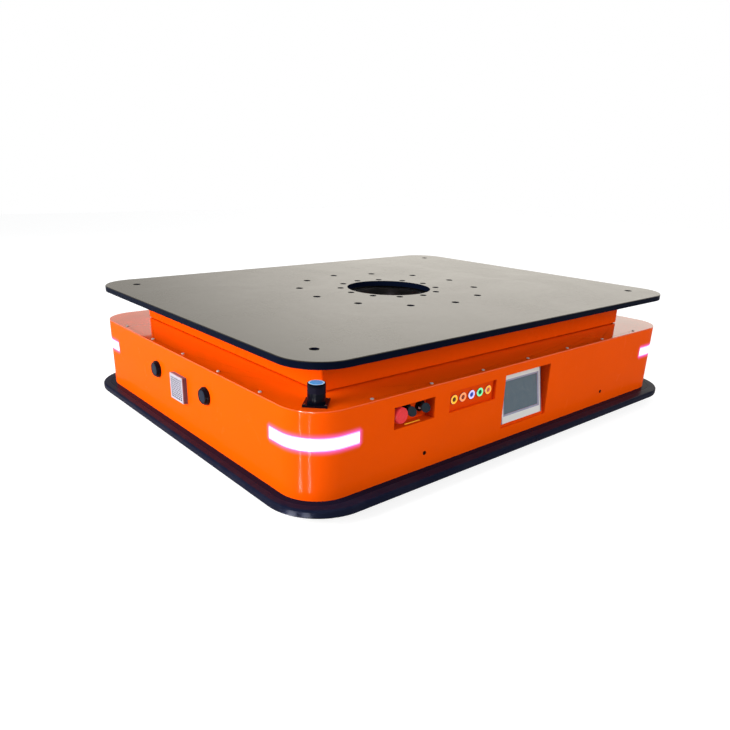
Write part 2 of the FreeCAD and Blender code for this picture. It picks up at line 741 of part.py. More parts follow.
# ---------------------------------------------------------------- shell, cover, lights
def make_shell():
    body = new_body("body_shell", z=base_top)
    height = s.body_height - s.shell_wall
    inner_length = s.body_length - 2 * s.shell_wall
    inner_width = s.body_width - 2 * s.shell_wall
    inner_corner = s.body_corner - s.shell_wall
    walls = new_sketch(body, "shell_walls")
    draw_rounded(walls, s.body_length, s.body_width, s.body_corner)
    draw_rounded(walls, inner_length, inner_width, inner_corner)
    pad(body, walls, height)
    flange = new_sketch(body, "cover_flange", offset=height - s.shell_wall)
    draw_rounded(flange, s.body_length - s.shell_wall, s.body_width - s.shell_wall,
                 s.body_corner - s.shell_wall / 2)
    draw_rounded(flange, inner_length - 2 * s.flange_width, inner_width - 2 * s.flange_width,
                 inner_corner - s.flange_width)
    pad(body, flange, s.shell_wall)
    depth = s.shell_wall + SLACK
    windows = new_sketch(body, "front_windows", "XZ_Plane", s.body_width / 2)
    level = s.tray_level
    for middle, length in ((s.estop_tray_x, s.estop_tray_length),
                           (s.button_tray_x, s.button_tray_length)):
        draw_rectangle(windows, (middle - length / 2, middle + length / 2), (level, level + s.tray_height))
    draw_rectangle(windows, (s.hmi_x - s.hmi_length / 2, s.hmi_x + s.hmi_length / 2),
                   (s.hmi_level, s.hmi_level + s.hmi_height))
    for x in (s.service_left, s.service_right):
        draw_circle(windows, x, s.service_level, s.service_hole)
    pocket(body, windows, depth)
    holes = new_sketch(body, "sensor_holes", "YZ_Plane", -s.body_length / 2)
    for side in (-1, 1):
        draw_circle(holes, s.sensor_offset * side, s.sensor_level, s.sensor_hole)
    pocket(body, holes, depth, reverse=True)
    screws = new_sketch(body, "flange_holes", offset=height)
    for x, y in cover_screw_places():
        draw_circle(screws, x, y, s.cover_screw_shank / 2 + 2 * s.fit)
    pocket(body, screws, s.shell_wall)
    slots = [light_segment(f"light_slot_{name}", sx, sy, s.light_gap, s.light_gap + SLACK)
             for name, sx, sy in CORNERS]
    publish("body_shell", cut("body_shell_lit", body, *slots))


def light_segment(name, sx, sy, gap, depth_gap):
    """One corner of the light band: the shell's own outline, grown by a gap on every side."""
    body = new_body(name, z=base_top + s.light_level - gap)
    sketch = new_sketch(body, f"{name}_outline")
    corner_x, corner_y = s.body_length / 2 - s.body_corner, s.body_width / 2 - s.body_corner
    leg = s.light_leg + gap
    outer, inner = s.body_corner + depth_gap, s.body_corner - s.shell_wall - depth_gap
    arcs = []
    begin = {(1, 1): 0, (-1, 1): 1, (-1, -1): 2, (1, -1): 3}[(sx, sy)] * math.pi / 2
    for radius in (outer, inner):
        circle = Part.Circle(point(corner_x * sx, corner_y * sy), Vector(0, 0, 1), radius.value)
        arc = Part.ArcOfCircle(circle, begin, begin + math.pi / 2)
        element = sketch.addGeometry(arc, False)
        pin(sketch, element, CENTRE, corner_x * sx, corner_y * sy)
        set_radius(sketch, element, radius)
        ends = ("Horizontal", "Vertical") if sx * sy > 0 else ("Vertical", "Horizontal")
        for which, rule in zip((START, END), ends):
            sketch.addConstraint(Sketcher.Constraint(rule, element, CENTRE, element, which))
        arcs.append((element, arc))
    for which, along_y in ((START, sx * sy > 0), (END, sx * sy < 0)):
        chain = []
        for element, arc in arcs:
            tip = arc.StartPoint if which == START else arc.EndPoint
            step = Vector(0, -sy * leg.value, 0) if along_y else Vector(-sx * leg.value, 0, 0)
            line = sketch.addGeometry(Part.LineSegment(tip, tip + step), False)
            sketch.addConstraint(Sketcher.Constraint("Coincident", element, which, line, START))
            sketch.addConstraint(Sketcher.Constraint("Vertical" if along_y else "Horizontal", line))
            rule = Sketcher.Constraint("Distance", line, leg.value)
            index = sketch.addConstraint(rule)
            sketch.setExpression(f"Constraints[{index}]", leg.text)
            chain.append((line, tip + step))
        closing = sketch.addGeometry(Part.LineSegment(chain[0][1], chain[1][1]), False)
        sketch.addConstraint(Sketcher.Constraint("Coincident", chain[0][0], END, closing, START))
        sketch.addConstraint(Sketcher.Constraint("Coincident", chain[1][0], END, closing, END))
    pad(body, sketch, s.light_height + 2 * gap)
    return body


def make_lights():
    nothing = Size.of(0)
    lights = [light_segment(f"light_{name}", sx, sy, nothing, nothing) for name, sx, sy in CORNERS]
    publish("corner_lights", group("corner_lights", *lights))


def make_cover():
    body = new_body("top_cover", z=cover_bottom)
    plate = new_sketch(body, "cover_plate")
    draw_rounded(plate, s.body_length, s.body_width, s.body_corner)
    draw_rounded(plate, collar_length - 2 * s.skirt_wall, collar_width - 2 * s.skirt_wall,
                 collar_bend - s.skirt_wall / 2)
    pad(body, plate, s.shell_wall)
    collar = new_sketch(body, "cover_collar")
    draw_rounded(collar, collar_length, collar_width, collar_bend)
    draw_rounded(collar, collar_length - 2 * s.skirt_wall, collar_width - 2 * s.skirt_wall,
                 collar_bend - s.skirt_wall / 2)
    pad(body, collar, s.shell_wall + s.lift_travel + s.collar_overlap)
    screws = new_sketch(body, "cover_holes", offset=s.shell_wall)
    for x, y in cover_screw_places():
        draw_circle(screws, x, y, s.cover_screw_shank / 2 + 2 * s.fit)
    pocket(body, screws, s.shell_wall)
    publish("top_cover", body)


def make_cover_screws():
    screws = []
    for number, (x, y) in enumerate(cover_screw_places()):
        shank = cylinder(f"cover_shank_{number}", s.cover_screw_shank / 2,
                         (x, y, body_top - s.cover_screw_length), s.cover_screw_length + SLACK)
        head = doc.addObject("Part::Cone", f"cover_head_{number}")
        bind(head, "Radius1", s.cover_screw_head / 2)
        bind(head, "Radius2", s.cover_screw_head / 4)
        bind(head, "Height", s.cover_screw_rise)
        for axis, place in zip("xyz", (x, y, body_top)):
            bind(head, f"Placement.Base.{axis}", place)
        screws.append(fuse(f"cover_screw_{number}", shank, head))
    publish("cover_screws", group("cover_screws", *screws))


# ---------------------------------------------------------------- control recesses
def make_trays():
    sheet_wall = s.tray_sheet
    trays = []
    for name, middle, length, depth, axes in (
            ("estop", s.estop_tray_x, s.estop_tray_length, s.estop_tray_depth,
             [s.estop_x] + selector_positions()),
            ("button", s.button_tray_x, s.button_tray_length, s.button_tray_depth, button_positions())):
        x = (middle - length / 2, middle + length / 2)
        panel = front_face + depth
        outside = box(f"{name}_tray_outside", (x[0] - sheet_wall, x[1] + sheet_wall),
                      (front_inside, panel + sheet_wall), (tray_bottom - sheet_wall, tray_top + sheet_wall))
        inside = box(f"{name}_tray_inside", x, (front_face - SLACK, panel), (tray_bottom, tray_top))
        holes = [cylinder(f"{name}_hole_{i}", s.panel_hole / 2, (axis, panel - SLACK, switch_z),
                          sheet_wall + 2 * SLACK, "+y") for i, axis in enumerate(axes)]
        trays.append(cut(f"{name}_tray", outside, inside, *holes))
    trays.append(make_hmi_tray())
    publish("control_trays", group("control_trays", *trays))


def hmi_prism(name, points, x0, x1):
    """A wedge along X whose outline is given by (y, z) points."""
    body = new_body(name)
    sketch = new_sketch(body, f"{name}_outline", "YZ_Plane", x0)
    draw_polygon(sketch, points)
    pad(body, sketch, x1 - x0)
    return body


def make_hmi_tray():
    sheet_wall = s.tray_sheet
    low, high = front_face + s.hmi_lip, front_face + s.hmi_depth
    x0, x1 = s.hmi_x - s.hmi_length / 2, s.hmi_x + s.hmi_length / 2
    outside = hmi_prism("hmi_tray_outside", [
        (front_inside, hmi_bottom - sheet_wall), (low + sheet_wall, hmi_bottom - sheet_wall),
        (high + sheet_wall, hmi_top + sheet_wall), (front_inside, hmi_top + sheet_wall)],
        x0 - sheet_wall, x1 + sheet_wall)
    inside = hmi_prism("hmi_tray_inside", [
        (front_face - SLACK, hmi_bottom), (low, hmi_bottom), (high, hmi_top),
        (front_face - SLACK, hmi_top)], x0, x1)
    return cut("hmi_tray", outside, inside)


def make_hmi():
    """Bezel and screen lie on the sloping back of their recess."""
    run = (s.hmi_depth - s.hmi_lip).value
    slope = math.atan2(run, s.hmi_height.value)
    slant = Size(math.hypot(run, s.hmi_height.value),
                 f"hypot({(s.hmi_depth - s.hmi_lip).text}; {s.hmi_height.text})")
    outer_x = (s.hmi_side - s.hmi_length / 2, s.hmi_length / 2 - s.hmi_side)
    outer_z = (s.hmi_side, slant - s.hmi_side)
    inner_x = (outer_x[0] + s.hmi_bar_side, outer_x[1] - s.hmi_bar_side)
    inner_z = (outer_z[0] + s.hmi_bar_bottom, outer_z[1] - s.hmi_bar_top)
    for node, thick in (("hmi_bezel", s.hmi_bezel_thick), ("hmi_screen", s.hmi_screen_thick)):
        body = new_body(node, s.hmi_x, front_face + s.hmi_lip, hmi_bottom)
        body.Placement = Placement(body.Placement.Base, Rotation(Vector(1, 0, 0), -math.degrees(slope)))
        sketch = new_sketch(body, f"{node}_outline", "XZ_Plane")
        if node == "hmi_bezel":
            draw_rectangle(sketch, outer_x, outer_z)
        draw_rectangle(sketch, inner_x, inner_z)
        pad(body, sketch, thick)
        publish(node, body)


# ---------------------------------------------------------------- switches
def switch_profile(bore, block, depth, bezel, rise):
    """Bezel, barrel through the panel and block behind it, round a bore; height 0 is the panel's face."""
    return [(bore, -depth), (block, -depth), (block, -s.tray_sheet), (s.switch_barrel / 2, -s.tray_sheet),
            (s.switch_barrel / 2, 0), (bezel, 0), (bezel, rise), (bore, rise)]


def make_estop():
    stem, radius = s.estop_stem, s.estop_head / 2
    head_start = s.estop_travel + s.estop_collar_rise + SLACK
    stem_top = head_start + s.estop_stem
    place = (s.estop_x, estop_panel, switch_z, "-y")
    base = turned("estop_base", switch_profile(
        stem + s.fit, s.switch_block, s.estop_block, s.estop_collar, s.estop_collar_rise), *place)
    publish("estop_base", base)
    plunger = turned("estop_plunger", [
        (0, -s.estop_stem_end), (stem, -s.estop_stem_end), (stem, stem_top), (0, stem_top)], *place)
    publish("estop_plunger", plunger)
    dome = [(radius * across, head_start + s.estop_head_height * up) for across, up in MUSHROOM]
    head = turned("estop_head", [(stem + s.fit, head_start)] + dome + [
        (0, stem_top + s.fit), (stem + s.fit, stem_top + s.fit)], *place)
    publish("estop_head", head)


def make_selectors():
    axle, seat, rise = s.selector_axle, s.selector_seat, s.selector_rise
    bezel = s.selector_size / 2
    knob = bezel - s.selector_rim
    mouth = knob + s.selector_play
    bases = []
    for (name, _), x in zip(SIDES, selector_positions()):
        place = (x, estop_panel, switch_z, "-y")
        profile = switch_profile(axle + s.fit, s.switch_block, s.selector_block, bezel, rise)
        profile[-1:] = [(mouth, rise), (mouth, seat), (axle + s.fit, seat)]
        bases.append(turned(f"selector_base_{name}", profile, *place))
        body = turned(f"selector_knob_{name}", [
            (0, -s.selector_axle_end), (axle, -s.selector_axle_end), (axle, seat + s.selector_play),
            (knob, seat + s.selector_play), (knob, s.selector_disc), (knob - SLACK, s.selector_disc + SLACK),
            (0, s.selector_disc + SLACK)], *place)
        grip = new_sketch(body, f"selector_grip_{name}", offset=s.selector_disc)
        turn = math.radians(s.selector_turn.value)
        half_length, half_width = s.selector_grip_length / 2, s.selector_grip_width / 2
        corners = [(half_length * sx, half_width * sy) for sx, sy in ((-1, -1), (1, -1), (1, 1), (-1, 1))]
        cosine, sine = math.cos(turn), math.sin(turn)
        draw_polygon(grip, [(along * cosine - across * sine, along * sine + across * cosine)
                            for along, across in corners])
        pad(body, grip, s.selector_top)
        publish(f"selector_knob_{name}", body)
    publish("selector_bases", group("selector_bases", *bases))


def make_buttons():
    cap, bezel, rise = s.button_cap / 2, s.button_size / 2, s.button_rise
    bezels = []
    for number, x in enumerate(button_positions(), start=1):
        place = (x, button_panel, switch_z, "-y")
        profile = switch_profile(cap + s.fit, s.switch_block, s.button_block, bezel, rise)
        profile[-2:-1] = [(bezel, rise - SLACK), (bezel - SLACK, rise)]
        bezels.append(turned(f"button_bezel_{number}", profile, *place))
        top = rise - s.button_inset
        body = turned(f"push_button_{number}", [
            (0, -s.button_cap_end), (cap, -s.button_cap_end), (cap, top), (0, top)], *place)
        publish(f"push_button_{number}", body)
    publish("button_bezels", group("button_bezels", *bezels))


# ---------------------------------------------------------------- short side
def make_side_devices():
    level = base_top + s.sounder_level
    half, tall = s.sounder_width / 2, s.sounder_height / 2
    front = side_face - s.sounder_depth
    block = box("sounder_block", (front, side_face), (-half, half), (level - tall, level + tall))
    recess = box("sounder_recess", (front - SLACK, front + s.sounder_recess),
                 (-half + s.sounder_rim, half - s.sounder_rim),
                 (level - tall + s.sounder_rim, level + tall - s.sounder_rim))
    publish("sounder", cut("sounder", block, recess))
    outer = s.sensor_size / 2
    inner = outer - s.sensor_step
    barrel = s.sensor_hole - s.light_gap
    sensors = []
    for name, side in SIDES:
        sensors.append(turned(f"sensor_{name}", [
            (0, -s.sensor_depth), (barrel, -s.sensor_depth), (barrel, 0), (outer, 0), (outer, s.sensor_rear),
            (inner, s.sensor_rear), (inner, s.sensor_proud - s.sensor_bevel),
            (inner - s.sensor_bevel, s.sensor_proud), (0, s.sensor_proud)],
            side_face, s.sensor_offset * side, base_top + s.sensor_level, "-x"))
    publish("side_sensors", group("side_sensors", *sensors))


# ---------------------------------------------------------------- corner scanners
def make_scanners():
    radius, axle = s.scanner_size / 2, s.scanner_axle
    housing_top = s.scanner_foot + s.scanner_housing
    window_top = housing_top + s.scanner_window
    cap_top = window_top + s.scanner_cap
    bases, windows, caps = [], [], []
    for (name, _), (x, y) in zip(SIDES, scanner_places()):
        place = (x, y, body_top)
        body = turned(f"scanner_base_{name}", [
            (axle + s.fit, s.scanner_foot - SLACK), (axle + s.fit, housing_top), (radius, housing_top),
            (radius, s.scanner_foot - SLACK)], *place)
        foot = new_sketch(body, f"scanner_foot_{name}")
        reach = s.scanner_flange / math.sqrt(2)
        draw_polygon(foot, [(reach, 0), (0, reach), (-reach, 0), (0, -reach)])
        pad(body, foot, s.scanner_foot)
        bases.append(body)
        inner = radius - s.scanner_wall
        windows.append(turned(f"scanner_window_{name}", [
            (inner, housing_top), (radius, housing_top), (radius, window_top), (inner, window_top)], *place))
        caps.append(turned(f"scanner_cap_{name}", [
            (0, window_top), (radius, window_top), (radius, cap_top - s.scanner_edge),
            (radius - s.scanner_edge, cap_top), (0, cap_top)], *place))
        low, middle = s.scanner_foot + s.rotor_lift, housing_top + s.rotor_lift
        high = window_top - s.rotor_end
        rotor = turned(f"scanner_rotor_{name}", [
            (0, low), (axle, low), (axle, middle), (inner - s.rotor_side, middle),
            (inner - s.rotor_side, high), (0, high)], *place)
        publish(f"scanner_rotor_{name}", rotor)
    publish("scanner_bases", group("scanner_bases", *bases))
    publish("scanner_windows", group("scanner_windows", *windows))
    publish("scanner_caps", group("scanner_caps", *caps))


# ---------------------------------------------------------------- wheels
def make_drive():
    motors = []
    width, shaft, edge = s.wheel_width, s.drive_shaft, s.tyre_edge
    dish_out = s.hub_radius - s.hub_rim
    dish_in = shaft + s.hub_boss
    dish_floor = width - s.hub_dish
    for name, side in SIDES:
        direction = "+y" if side > 0 else "-y"
        inside = (s.wheel_track / 2 - width / 2) * side
        place = (0, inside, s.wheel_radius, direction)
        mount = -(s.drive_gap + s.motor_plate)
        shaft_end = mount - s.shaft_depth
        hub = turned(f"drive_hub_{name}", [
            (0, shaft_end), (shaft, shaft_end), (shaft, 0), (s.hub_radius, 0), (s.hub_radius, width),
            (dish_out, width), (dish_out - s.hub_slant, dish_floor), (dish_in + s.hub_slant / 2, dish_floor),
            (dish_in, width), (0, width)], *place)
        publish(f"drive_hub_{name}", hub)
        tyre = turned(f"drive_tyre_{name}", [
            (s.hub_radius, 0), (s.wheel_radius - edge, 0), (s.wheel_radius, edge),
            (s.wheel_radius, width - edge), (s.wheel_radius - edge, width), (s.hub_radius, width)], *place)
        publish(f"drive_tyre_{name}", tyre)
        far, neck = mount - s.gearmotor_length, mount - s.gearbox_length
        bore, floor = shaft + s.fit, shaft_end - SLACK
        motors.append(turned(f"gearmotor_{name}", [
            (0, far), (s.drive_motor_radius, far), (s.drive_motor_radius, neck), (s.gearbox_radius, neck),
            (s.gearbox_radius, mount), (bore, mount), (bore, floor), (0, floor)], *place))
    publish("drive_gearmotors", group("drive_gearmotors", *motors))


def caster_wheel(name, x, y):
    """Tyre, disc and hub in one, bored for the axle."""
    bore, half = s.caster_axle + s.fit, s.caster_width / 2
    step, hub_end = s.caster_disc_depth, half + s.caster_hub_proud
    half_profile = [
        (s.caster_hub, hub_end), (s.caster_hub, half - step), (s.caster_disc, half - step),
        (s.caster_disc + step, half), (s.caster_radius - step, half), (s.caster_radius, half - step)]
    profile = [(bore, -hub_end)] + [(r, -w) for r, w in half_profile] + half_profile[::-1] + [(bore, hub_end)]
    return turned(name, profile, x, y, s.caster_radius, "+y")


def make_casters():
    tower_top = base_top + s.tower_height
    crown_top = tower_top - s.tower_plate - s.caster_play
    crown_bottom = crown_top - s.crown_thick
    leg_in = s.caster_width / 2 + s.fork_gap
    leg_out = leg_in + s.fork_leg
    half = s.fork_half
    axle_half = leg_out + s.caster_axle_end
    for name, sx, sy in CORNERS:
        x, y = s.caster_x * sx, s.caster_y * sy
        axle_x = x - s.caster_trail
        crown = cylinder(f"crown_{name}", leg_out + s.crown_rim, (x, y, crown_bottom), s.crown_thick)
        pin_up = cylinder(f"kingpin_{name}", s.kingpin, (x, y, crown_bottom),
                          tower_top - crown_bottom + s.caster_play)
        nut = cylinder(f"kingpin_nut_{name}", s.kingpin_nut, (x, y, tower_top + s.kingpin_lift),
                       s.crown_thick)
        legs = [box(f"leg_{name}_{i}", (axle_x - half, x + half), span,
                    (s.caster_radius - half, crown_bottom + SLACK))
                for i, span in enumerate(((y - leg_out, y - leg_in), (y + leg_in, y + leg_out)))]
        axle = cylinder(f"caster_axle_{name}", s.caster_axle, (axle_x, y - axle_half, s.caster_radius),
                        2 * axle_half, "+y")
        publish(f"caster_fork_{name}", fuse(f"caster_fork_{name}", crown, pin_up, nut, axle, *legs))
        publish(f"caster_wheel_{name}", caster_wheel(f"caster_wheel_{name}", axle_x, y))


# ---------------------------------------------------------------- energy and control boxes
def make_boxes():
    for node, side, height in (("battery_pack", -1, s.battery_height), ("control_box", 1, s.control_height)):
        ends = (s.box_near * side, s.box_far * side)
        x = ends if side > 0 else ends[::-1]
        case = box(f"{node}_case", x, (-s.box_half_width, s.box_half_width), (base_top, base_top + height))
        rim = s.lid_rim
        lid = box(f"{node}_lid", (x[0] - rim, x[1] + rim), (-s.box_half_width - rim, s.box_half_width + rim),
                  (base_top + height - s.lid_low, base_top + height - s.lid_high))
        publish(node, fuse(node, case, lid))


# ---------------------------------------------------------------- lift
def make_posts():
    rail_top = base_top + s.rail_height
    posts = [cylinder(f"guide_post_{name}", s.post_radius, (x, y, rail_top),
                      platform_bottom - s.post_head - rail_top) for name, x, y in post_places()]
    publish("guide_posts", group("guide_posts", *posts))


def make_jacks():
    box_top = base_top + s.jack_box_height
    half = s.jack_box / 2
    motors, nuts = [], []
    flange_bottom = rib_bottom - s.jack_drop
    flange_top = flange_bottom + s.jack_flange_thick
    nut_bore = s.jack_screw + s.fit
    journal_start = base_top + s.jack_bore_floor + SLACK
    screw_top = platform_bottom - s.jack_end
    for name, x in jack_places():
        case = box(f"jack_case_{name}", (x - half, x + half), (-half, half), (base_top, box_top))
        motor = cylinder(f"jack_motor_{name}", s.jack_box_height / 2 - s.jack_motor_inset,
                         (x, half - SLACK, base_top + s.jack_box_height / 2), s.jack_motor, "+y")
        bore = cylinder(f"jack_bore_{name}", s.jack_journal + s.fit, (x, 0, base_top + s.jack_bore_floor),
                        s.jack_box_height)
        motors.append(cut(f"jack_{name}", fuse(f"jack_solid_{name}", case, motor), bore))
        screw = turned(f"ball_screw_{name}", [
            (0, journal_start), (s.jack_journal, journal_start), (s.jack_journal, box_top + SLACK),
            (s.jack_screw, box_top + SLACK), (s.jack_screw, screw_top), (0, screw_top)], x)
        publish(f"ball_screw_{name}", screw)
        nuts.append(turned(f"ball_nut_{name}", [
            (nut_bore, flange_bottom), (s.jack_nut_flange, flange_bottom), (s.jack_nut_flange, flange_top),
            (s.jack_nut, flange_top), (s.jack_nut, flange_top + s.jack_nut_length),
            (nut_bore, flange_top + s.jack_nut_length)], x))
    publish("lift_jacks", group("lift_jacks", *motors))
    publish("ball_nuts", group("ball_nuts", *nuts))


def make_bushes():
    start = rib_bottom - s.bush_length
    bore = s.post_radius + s.fit
    bushes = [turned(f"guide_bush_{name}", [
        (bore, start), (s.bush_radius, start), (s.bush_radius, rib_bottom), (bore, rib_bottom)], x, y)
        for name, x, y in post_places()]
    publish("guide_bushes", group("guide_bushes", *bushes))


def make_skirt():
    start = body_top + s.skirt_gap
    body = new_body("lift_skirt", z=start)
    walls = new_sketch(body, "skirt_walls")
    draw_rounded(walls, s.skirt_length, s.skirt_width, s.skirt_bend)
    draw_rounded(walls, s.skirt_length - 2 * s.skirt_wall, s.skirt_width - 2 * s.skirt_wall,
                 s.skirt_bend - s.skirt_wall)
    pad(body, walls, platform_top - start)
    publish("lift_skirt", body)


def gear_reach():
    """Centre distance of ring and pinion."""
    return s.gear_module * (s.ring_teeth + s.pinion_teeth) / 2 + s.gear_spread


def make_lift_frame():
    rib = s.rib_width / 2
    ring_tip = s.gear_module * (s.ring_teeth / 2 + 1)
    pinion_tip = s.gear_module * (s.pinion_teeth / 2 + 1)
    body = new_body("platform_plate", z=platform_bottom)
    plate = new_sketch(body, "platform_outline")
    draw_rounded(plate, s.skirt_length - 2 * s.skirt_wall, s.skirt_width - 2 * s.skirt_wall,
                 s.skirt_bend - s.skirt_wall)
    pad(body, plate, s.platform_thick)
    solids, bores = [body], []
    level = (rib_bottom, platform_bottom + SLACK)
    post_end = s.cross_rail_x + rib
    for name, side in SIDES:
        y = s.post_y * side
        solids.append(box(f"long_rib_{name}", (-post_end, post_end), (y - rib, y + rib), level))
        for kind, place in (("post", s.cross_rail_x), ("jack", s.jack_x), ("seat", s.seat_reach)):
            x = place * side
            solids.append(box(f"{kind}_rib_{name}", (x - rib, x + rib), (-s.post_y, s.post_y), level))
    solids.append(box("bearing_seat", (-s.seat_reach, s.seat_reach), (-s.seat_reach, s.seat_reach),
                      (rib_bottom, seat_top)))
    for name, x in jack_places():
        half = s.jack_nut_flange + s.nut_housing
        flange_top = rib_bottom - s.jack_drop + s.jack_flange_thick
        solids.append(box(f"nut_housing_{name}", (x - half, x + half), (-half, half),
                          (flange_top, rib_bottom + SLACK)))
        bores.append(cylinder(f"nut_seat_{name}", s.jack_nut, (x, 0, flange_top - SLACK),
                              s.jack_nut_length + SLACK))
        bores.append(cylinder(f"screw_room_{name}", s.jack_screw + s.screw_room, (x, 0, flange_top),
                              platform_bottom - s.post_head - flange_top))
    for name, x, y in post_places():
        start = rib_bottom - s.bush_length
        solids.append(cylinder(f"bush_housing_{name}", s.bush_housing, (x, y, start), s.bush_length + SLACK))
        bores.append(cylinder(f"bush_seat_{name}", s.bush_radius, (x, y, start - SLACK),
                              platform_bottom - start + SLACK))
    room_height = s.race_height + s.platform_thick * 2
    bores.append(cylinder("ring_room", ring_tip + s.gear_room, (0, 0, seat_top), room_height))
    bores.append(cylinder("pinion_room", pinion_tip + s.gear_room, (gear_reach(), 0, seat_top), room_height))
    bores.append(cylinder("seat_bore", s.inner_race_bore, (0, 0, rib_bottom - SLACK), s.race_height))
    bores.append(cylinder("pinion_bore", s.pinion_shaft + s.screw_room, (gear_reach(), 0, rib_bottom - SLACK),
                          s.race_height))
    publish("lift_frame", cut("lift_frame", fuse("lift_frame_solid", *solids), *bores))


# ---------------------------------------------------------------- slewing ring
def involute(angle):
    return math.tan(angle) - angle


def gear_wire(teeth, module, backlash, phase):
    """Outline of a gear with involute flanks; a tooth is centred on the phase angle."""
    pitch = module * teeth / 2
    root, tip = pitch - 1.25 * module, pitch + module
    base = pitch * math.cos(PRESSURE_ANGLE)
    half = math.pi / (2 * teeth) - backlash / (4 * pitch)
    start = max(root, base)
    flank = []
    for i in range(FLANK_POINTS):
        radius = start + (tip - start) * i / (FLANK_POINTS - 1)
        flank.append((radius, half + involute(PRESSURE_ANGLE) - involute(math.acos(base / radius))))
    if root < base:
        flank.insert(0, (root, flank[0][1]))
    corners = []
    for tooth in range(teeth):
        middle = phase + 2 * math.pi * tooth / teeth
        for radius, angle in flank:
            corners.append((radius, middle - angle))
        for radius, angle in reversed(flank):
            corners.append((radius, middle + angle))
    points = [Vector(r * math.cos(a), r * math.sin(a), 0) for r, a in corners]
    return Part.makePolygon(points + points[:1])


def gear_blank(name, teeth, phase, height, x, z):
    """Toothed disc; its outline comes from the sheet's numbers and its place is bound to them."""
    wire = gear_wire(int(teeth.value), s.gear_module.value, s.gear_backlash.value, phase)
    blank = doc.addObject("Part::Feature", name)
    blank.Shape = Part.Face(wire).extrude(Vector(0, 0, height.value))
    for axis, place in zip("xyz", (x, 0, z)):
        bind(blank, f"Placement.Base.{axis}", place)
    return blank


def make_slewing_ring():
    groove = torus("ball_groove", s.ball_circle, s.ball_radius + s.fit, ball_level)
    inner_out = s.ball_circle - s.race_gap / 2
    outer_in = s.ball_circle + s.race_gap / 2
    inner_height = race_top - s.inner_race_drop - seat_top
    disc = cylinder("inner_race_disc", inner_out, (0, 0, seat_top), inner_height)
    hole = cylinder("inner_race_hole", s.inner_race_bore, (0, 0, seat_top - SLACK), inner_height + 2 * SLACK)
    publish("slew_inner_race", cut("slew_inner_race", cut("inner_race_ring", disc, hole), groove))
    teeth = gear_blank("ring_teeth_blank", s.ring_teeth, 0.0, s.race_height, 0, race_bottom)
    bore = cylinder("outer_race_bore", outer_in, (0, 0, race_bottom - SLACK), s.race_height + 2 * SLACK)
    groove_again = torus("ball_groove_outer", s.ball_circle, s.ball_radius + s.fit, ball_level)
    thread = s.deck_screw_shank / 2 + s.fit
    threads = [cylinder(f"deck_thread_{i}", thread, (*ring_place(i), race_bottom - SLACK),
                        s.race_height + 2 * SLACK) for i in range(RING_HOLES)]
    ring = cut("outer_race_grooved", cut("outer_race_ring", teeth, bore), groove_again)
    publish("slew_outer_race", cut("slew_outer_race", ring, *threads))
    make_ball_cage(inner_out, outer_in)


def ring_place(i):
    angle = 2 * math.pi * i / RING_HOLES
    return (s.inner_ring_pcd / 2 * math.cos(angle), s.inner_ring_pcd / 2 * math.sin(angle))


def make_ball_cage(inner_out, outer_in):
    clear = s.race_gap / 6
    low, high = ball_level - s.ball_radius - s.cage_side, ball_level + s.ball_radius + s.cage_side
    near, far = inner_out + clear, outer_in - clear
    cage = turned("cage_ring", [(near, low), (far, low), (far, high), (near, high)])
    room = new_sketch(cage, "ball_room", "YZ_Plane")
    draw_circle(room, 0, ball_level, s.ball_radius + s.fit)
    polar(cage, pocket(cage, room, far + SLACK, reverse=True), BALLS)
    balls = []
    for i in range(BALLS):
        angle = 2 * math.pi * i / BALLS
        balls.append(sphere(f"ball_{i}", s.ball_radius, (
            s.ball_circle * math.cos(angle), s.ball_circle * math.sin(angle), ball_level)))
    publish("slew_ball_cage", group("slew_ball_cage", cage, *balls))


def make_turn_drive():
    reach = gear_reach()
    start = seat_top + s.pinion_lift
    shaft_end = rib_bottom - s.pinion_shaft_end
    half_tooth = math.pi / s.pinion_teeth.value
    teeth = gear_blank("pinion_teeth_blank", s.pinion_teeth, half_tooth, s.pinion_height, reach, start)
    shaft = cylinder("pinion_shaft", s.pinion_shaft, (reach, 0, shaft_end), start - shaft_end + SLACK)
    publish("turn_pinion", fuse("turn_pinion", teeth, shaft))
    bore, floor = s.pinion_shaft + s.fit, shaft_end - SLACK
    motor_end = rib_bottom - s.turn_motor_length
    motor = turned("turn_motor", [
        (0, motor_end), (s.turn_motor_radius, motor_end), (s.turn_motor_radius, rib_bottom),
        (bore, rib_bottom), (bore, floor), (0, floor)], reach)
    publish("turn_motor", motor)


# ---------------------------------------------------------------- deck
def make_deck():
    body = new_body("deck_plate", z=deck_bottom)
    outline = new_sketch(body, "deck_outline")
    draw_rounded(outline, s.deck_length, s.deck_width, s.deck_corner)
    pad(body, outline, s.deck_thick)
    dress(body, "PartDesign::Chamfer", "deck_edge", (s.deck_thick.value,), "Size", s.deck_chamfer)
    openings = new_sketch(body, "deck_openings", offset=s.deck_thick)
    draw_circle(openings, 0, 0, s.deck_bore / 2)
    for _, sx, sy in CORNERS:
        draw_circle(openings, s.corner_pitch_x / 2 * sx, s.corner_pitch_y / 2 * sy, s.corner_hole / 2)
    pocket(body, openings, s.deck_thick)
    for name, circle, radius, depth in (
            ("payload_hole", s.outer_ring_pcd, s.outer_ring_hole / 2, s.deck_thick),
            ("screw_recess", s.inner_ring_pcd, s.inner_ring_hole / 2, s.screw_head_depth),
            ("screw_hole", s.inner_ring_pcd, s.deck_screw_shank / 2 + s.deck_screw_play, s.deck_thick)):
        sketch = new_sketch(body, name, offset=s.deck_thick)
        draw_circle(sketch, circle / 2, 0, radius)
        polar(body, pocket(body, sketch, depth), RING_HOLES)
    publish("deck_plate", body)


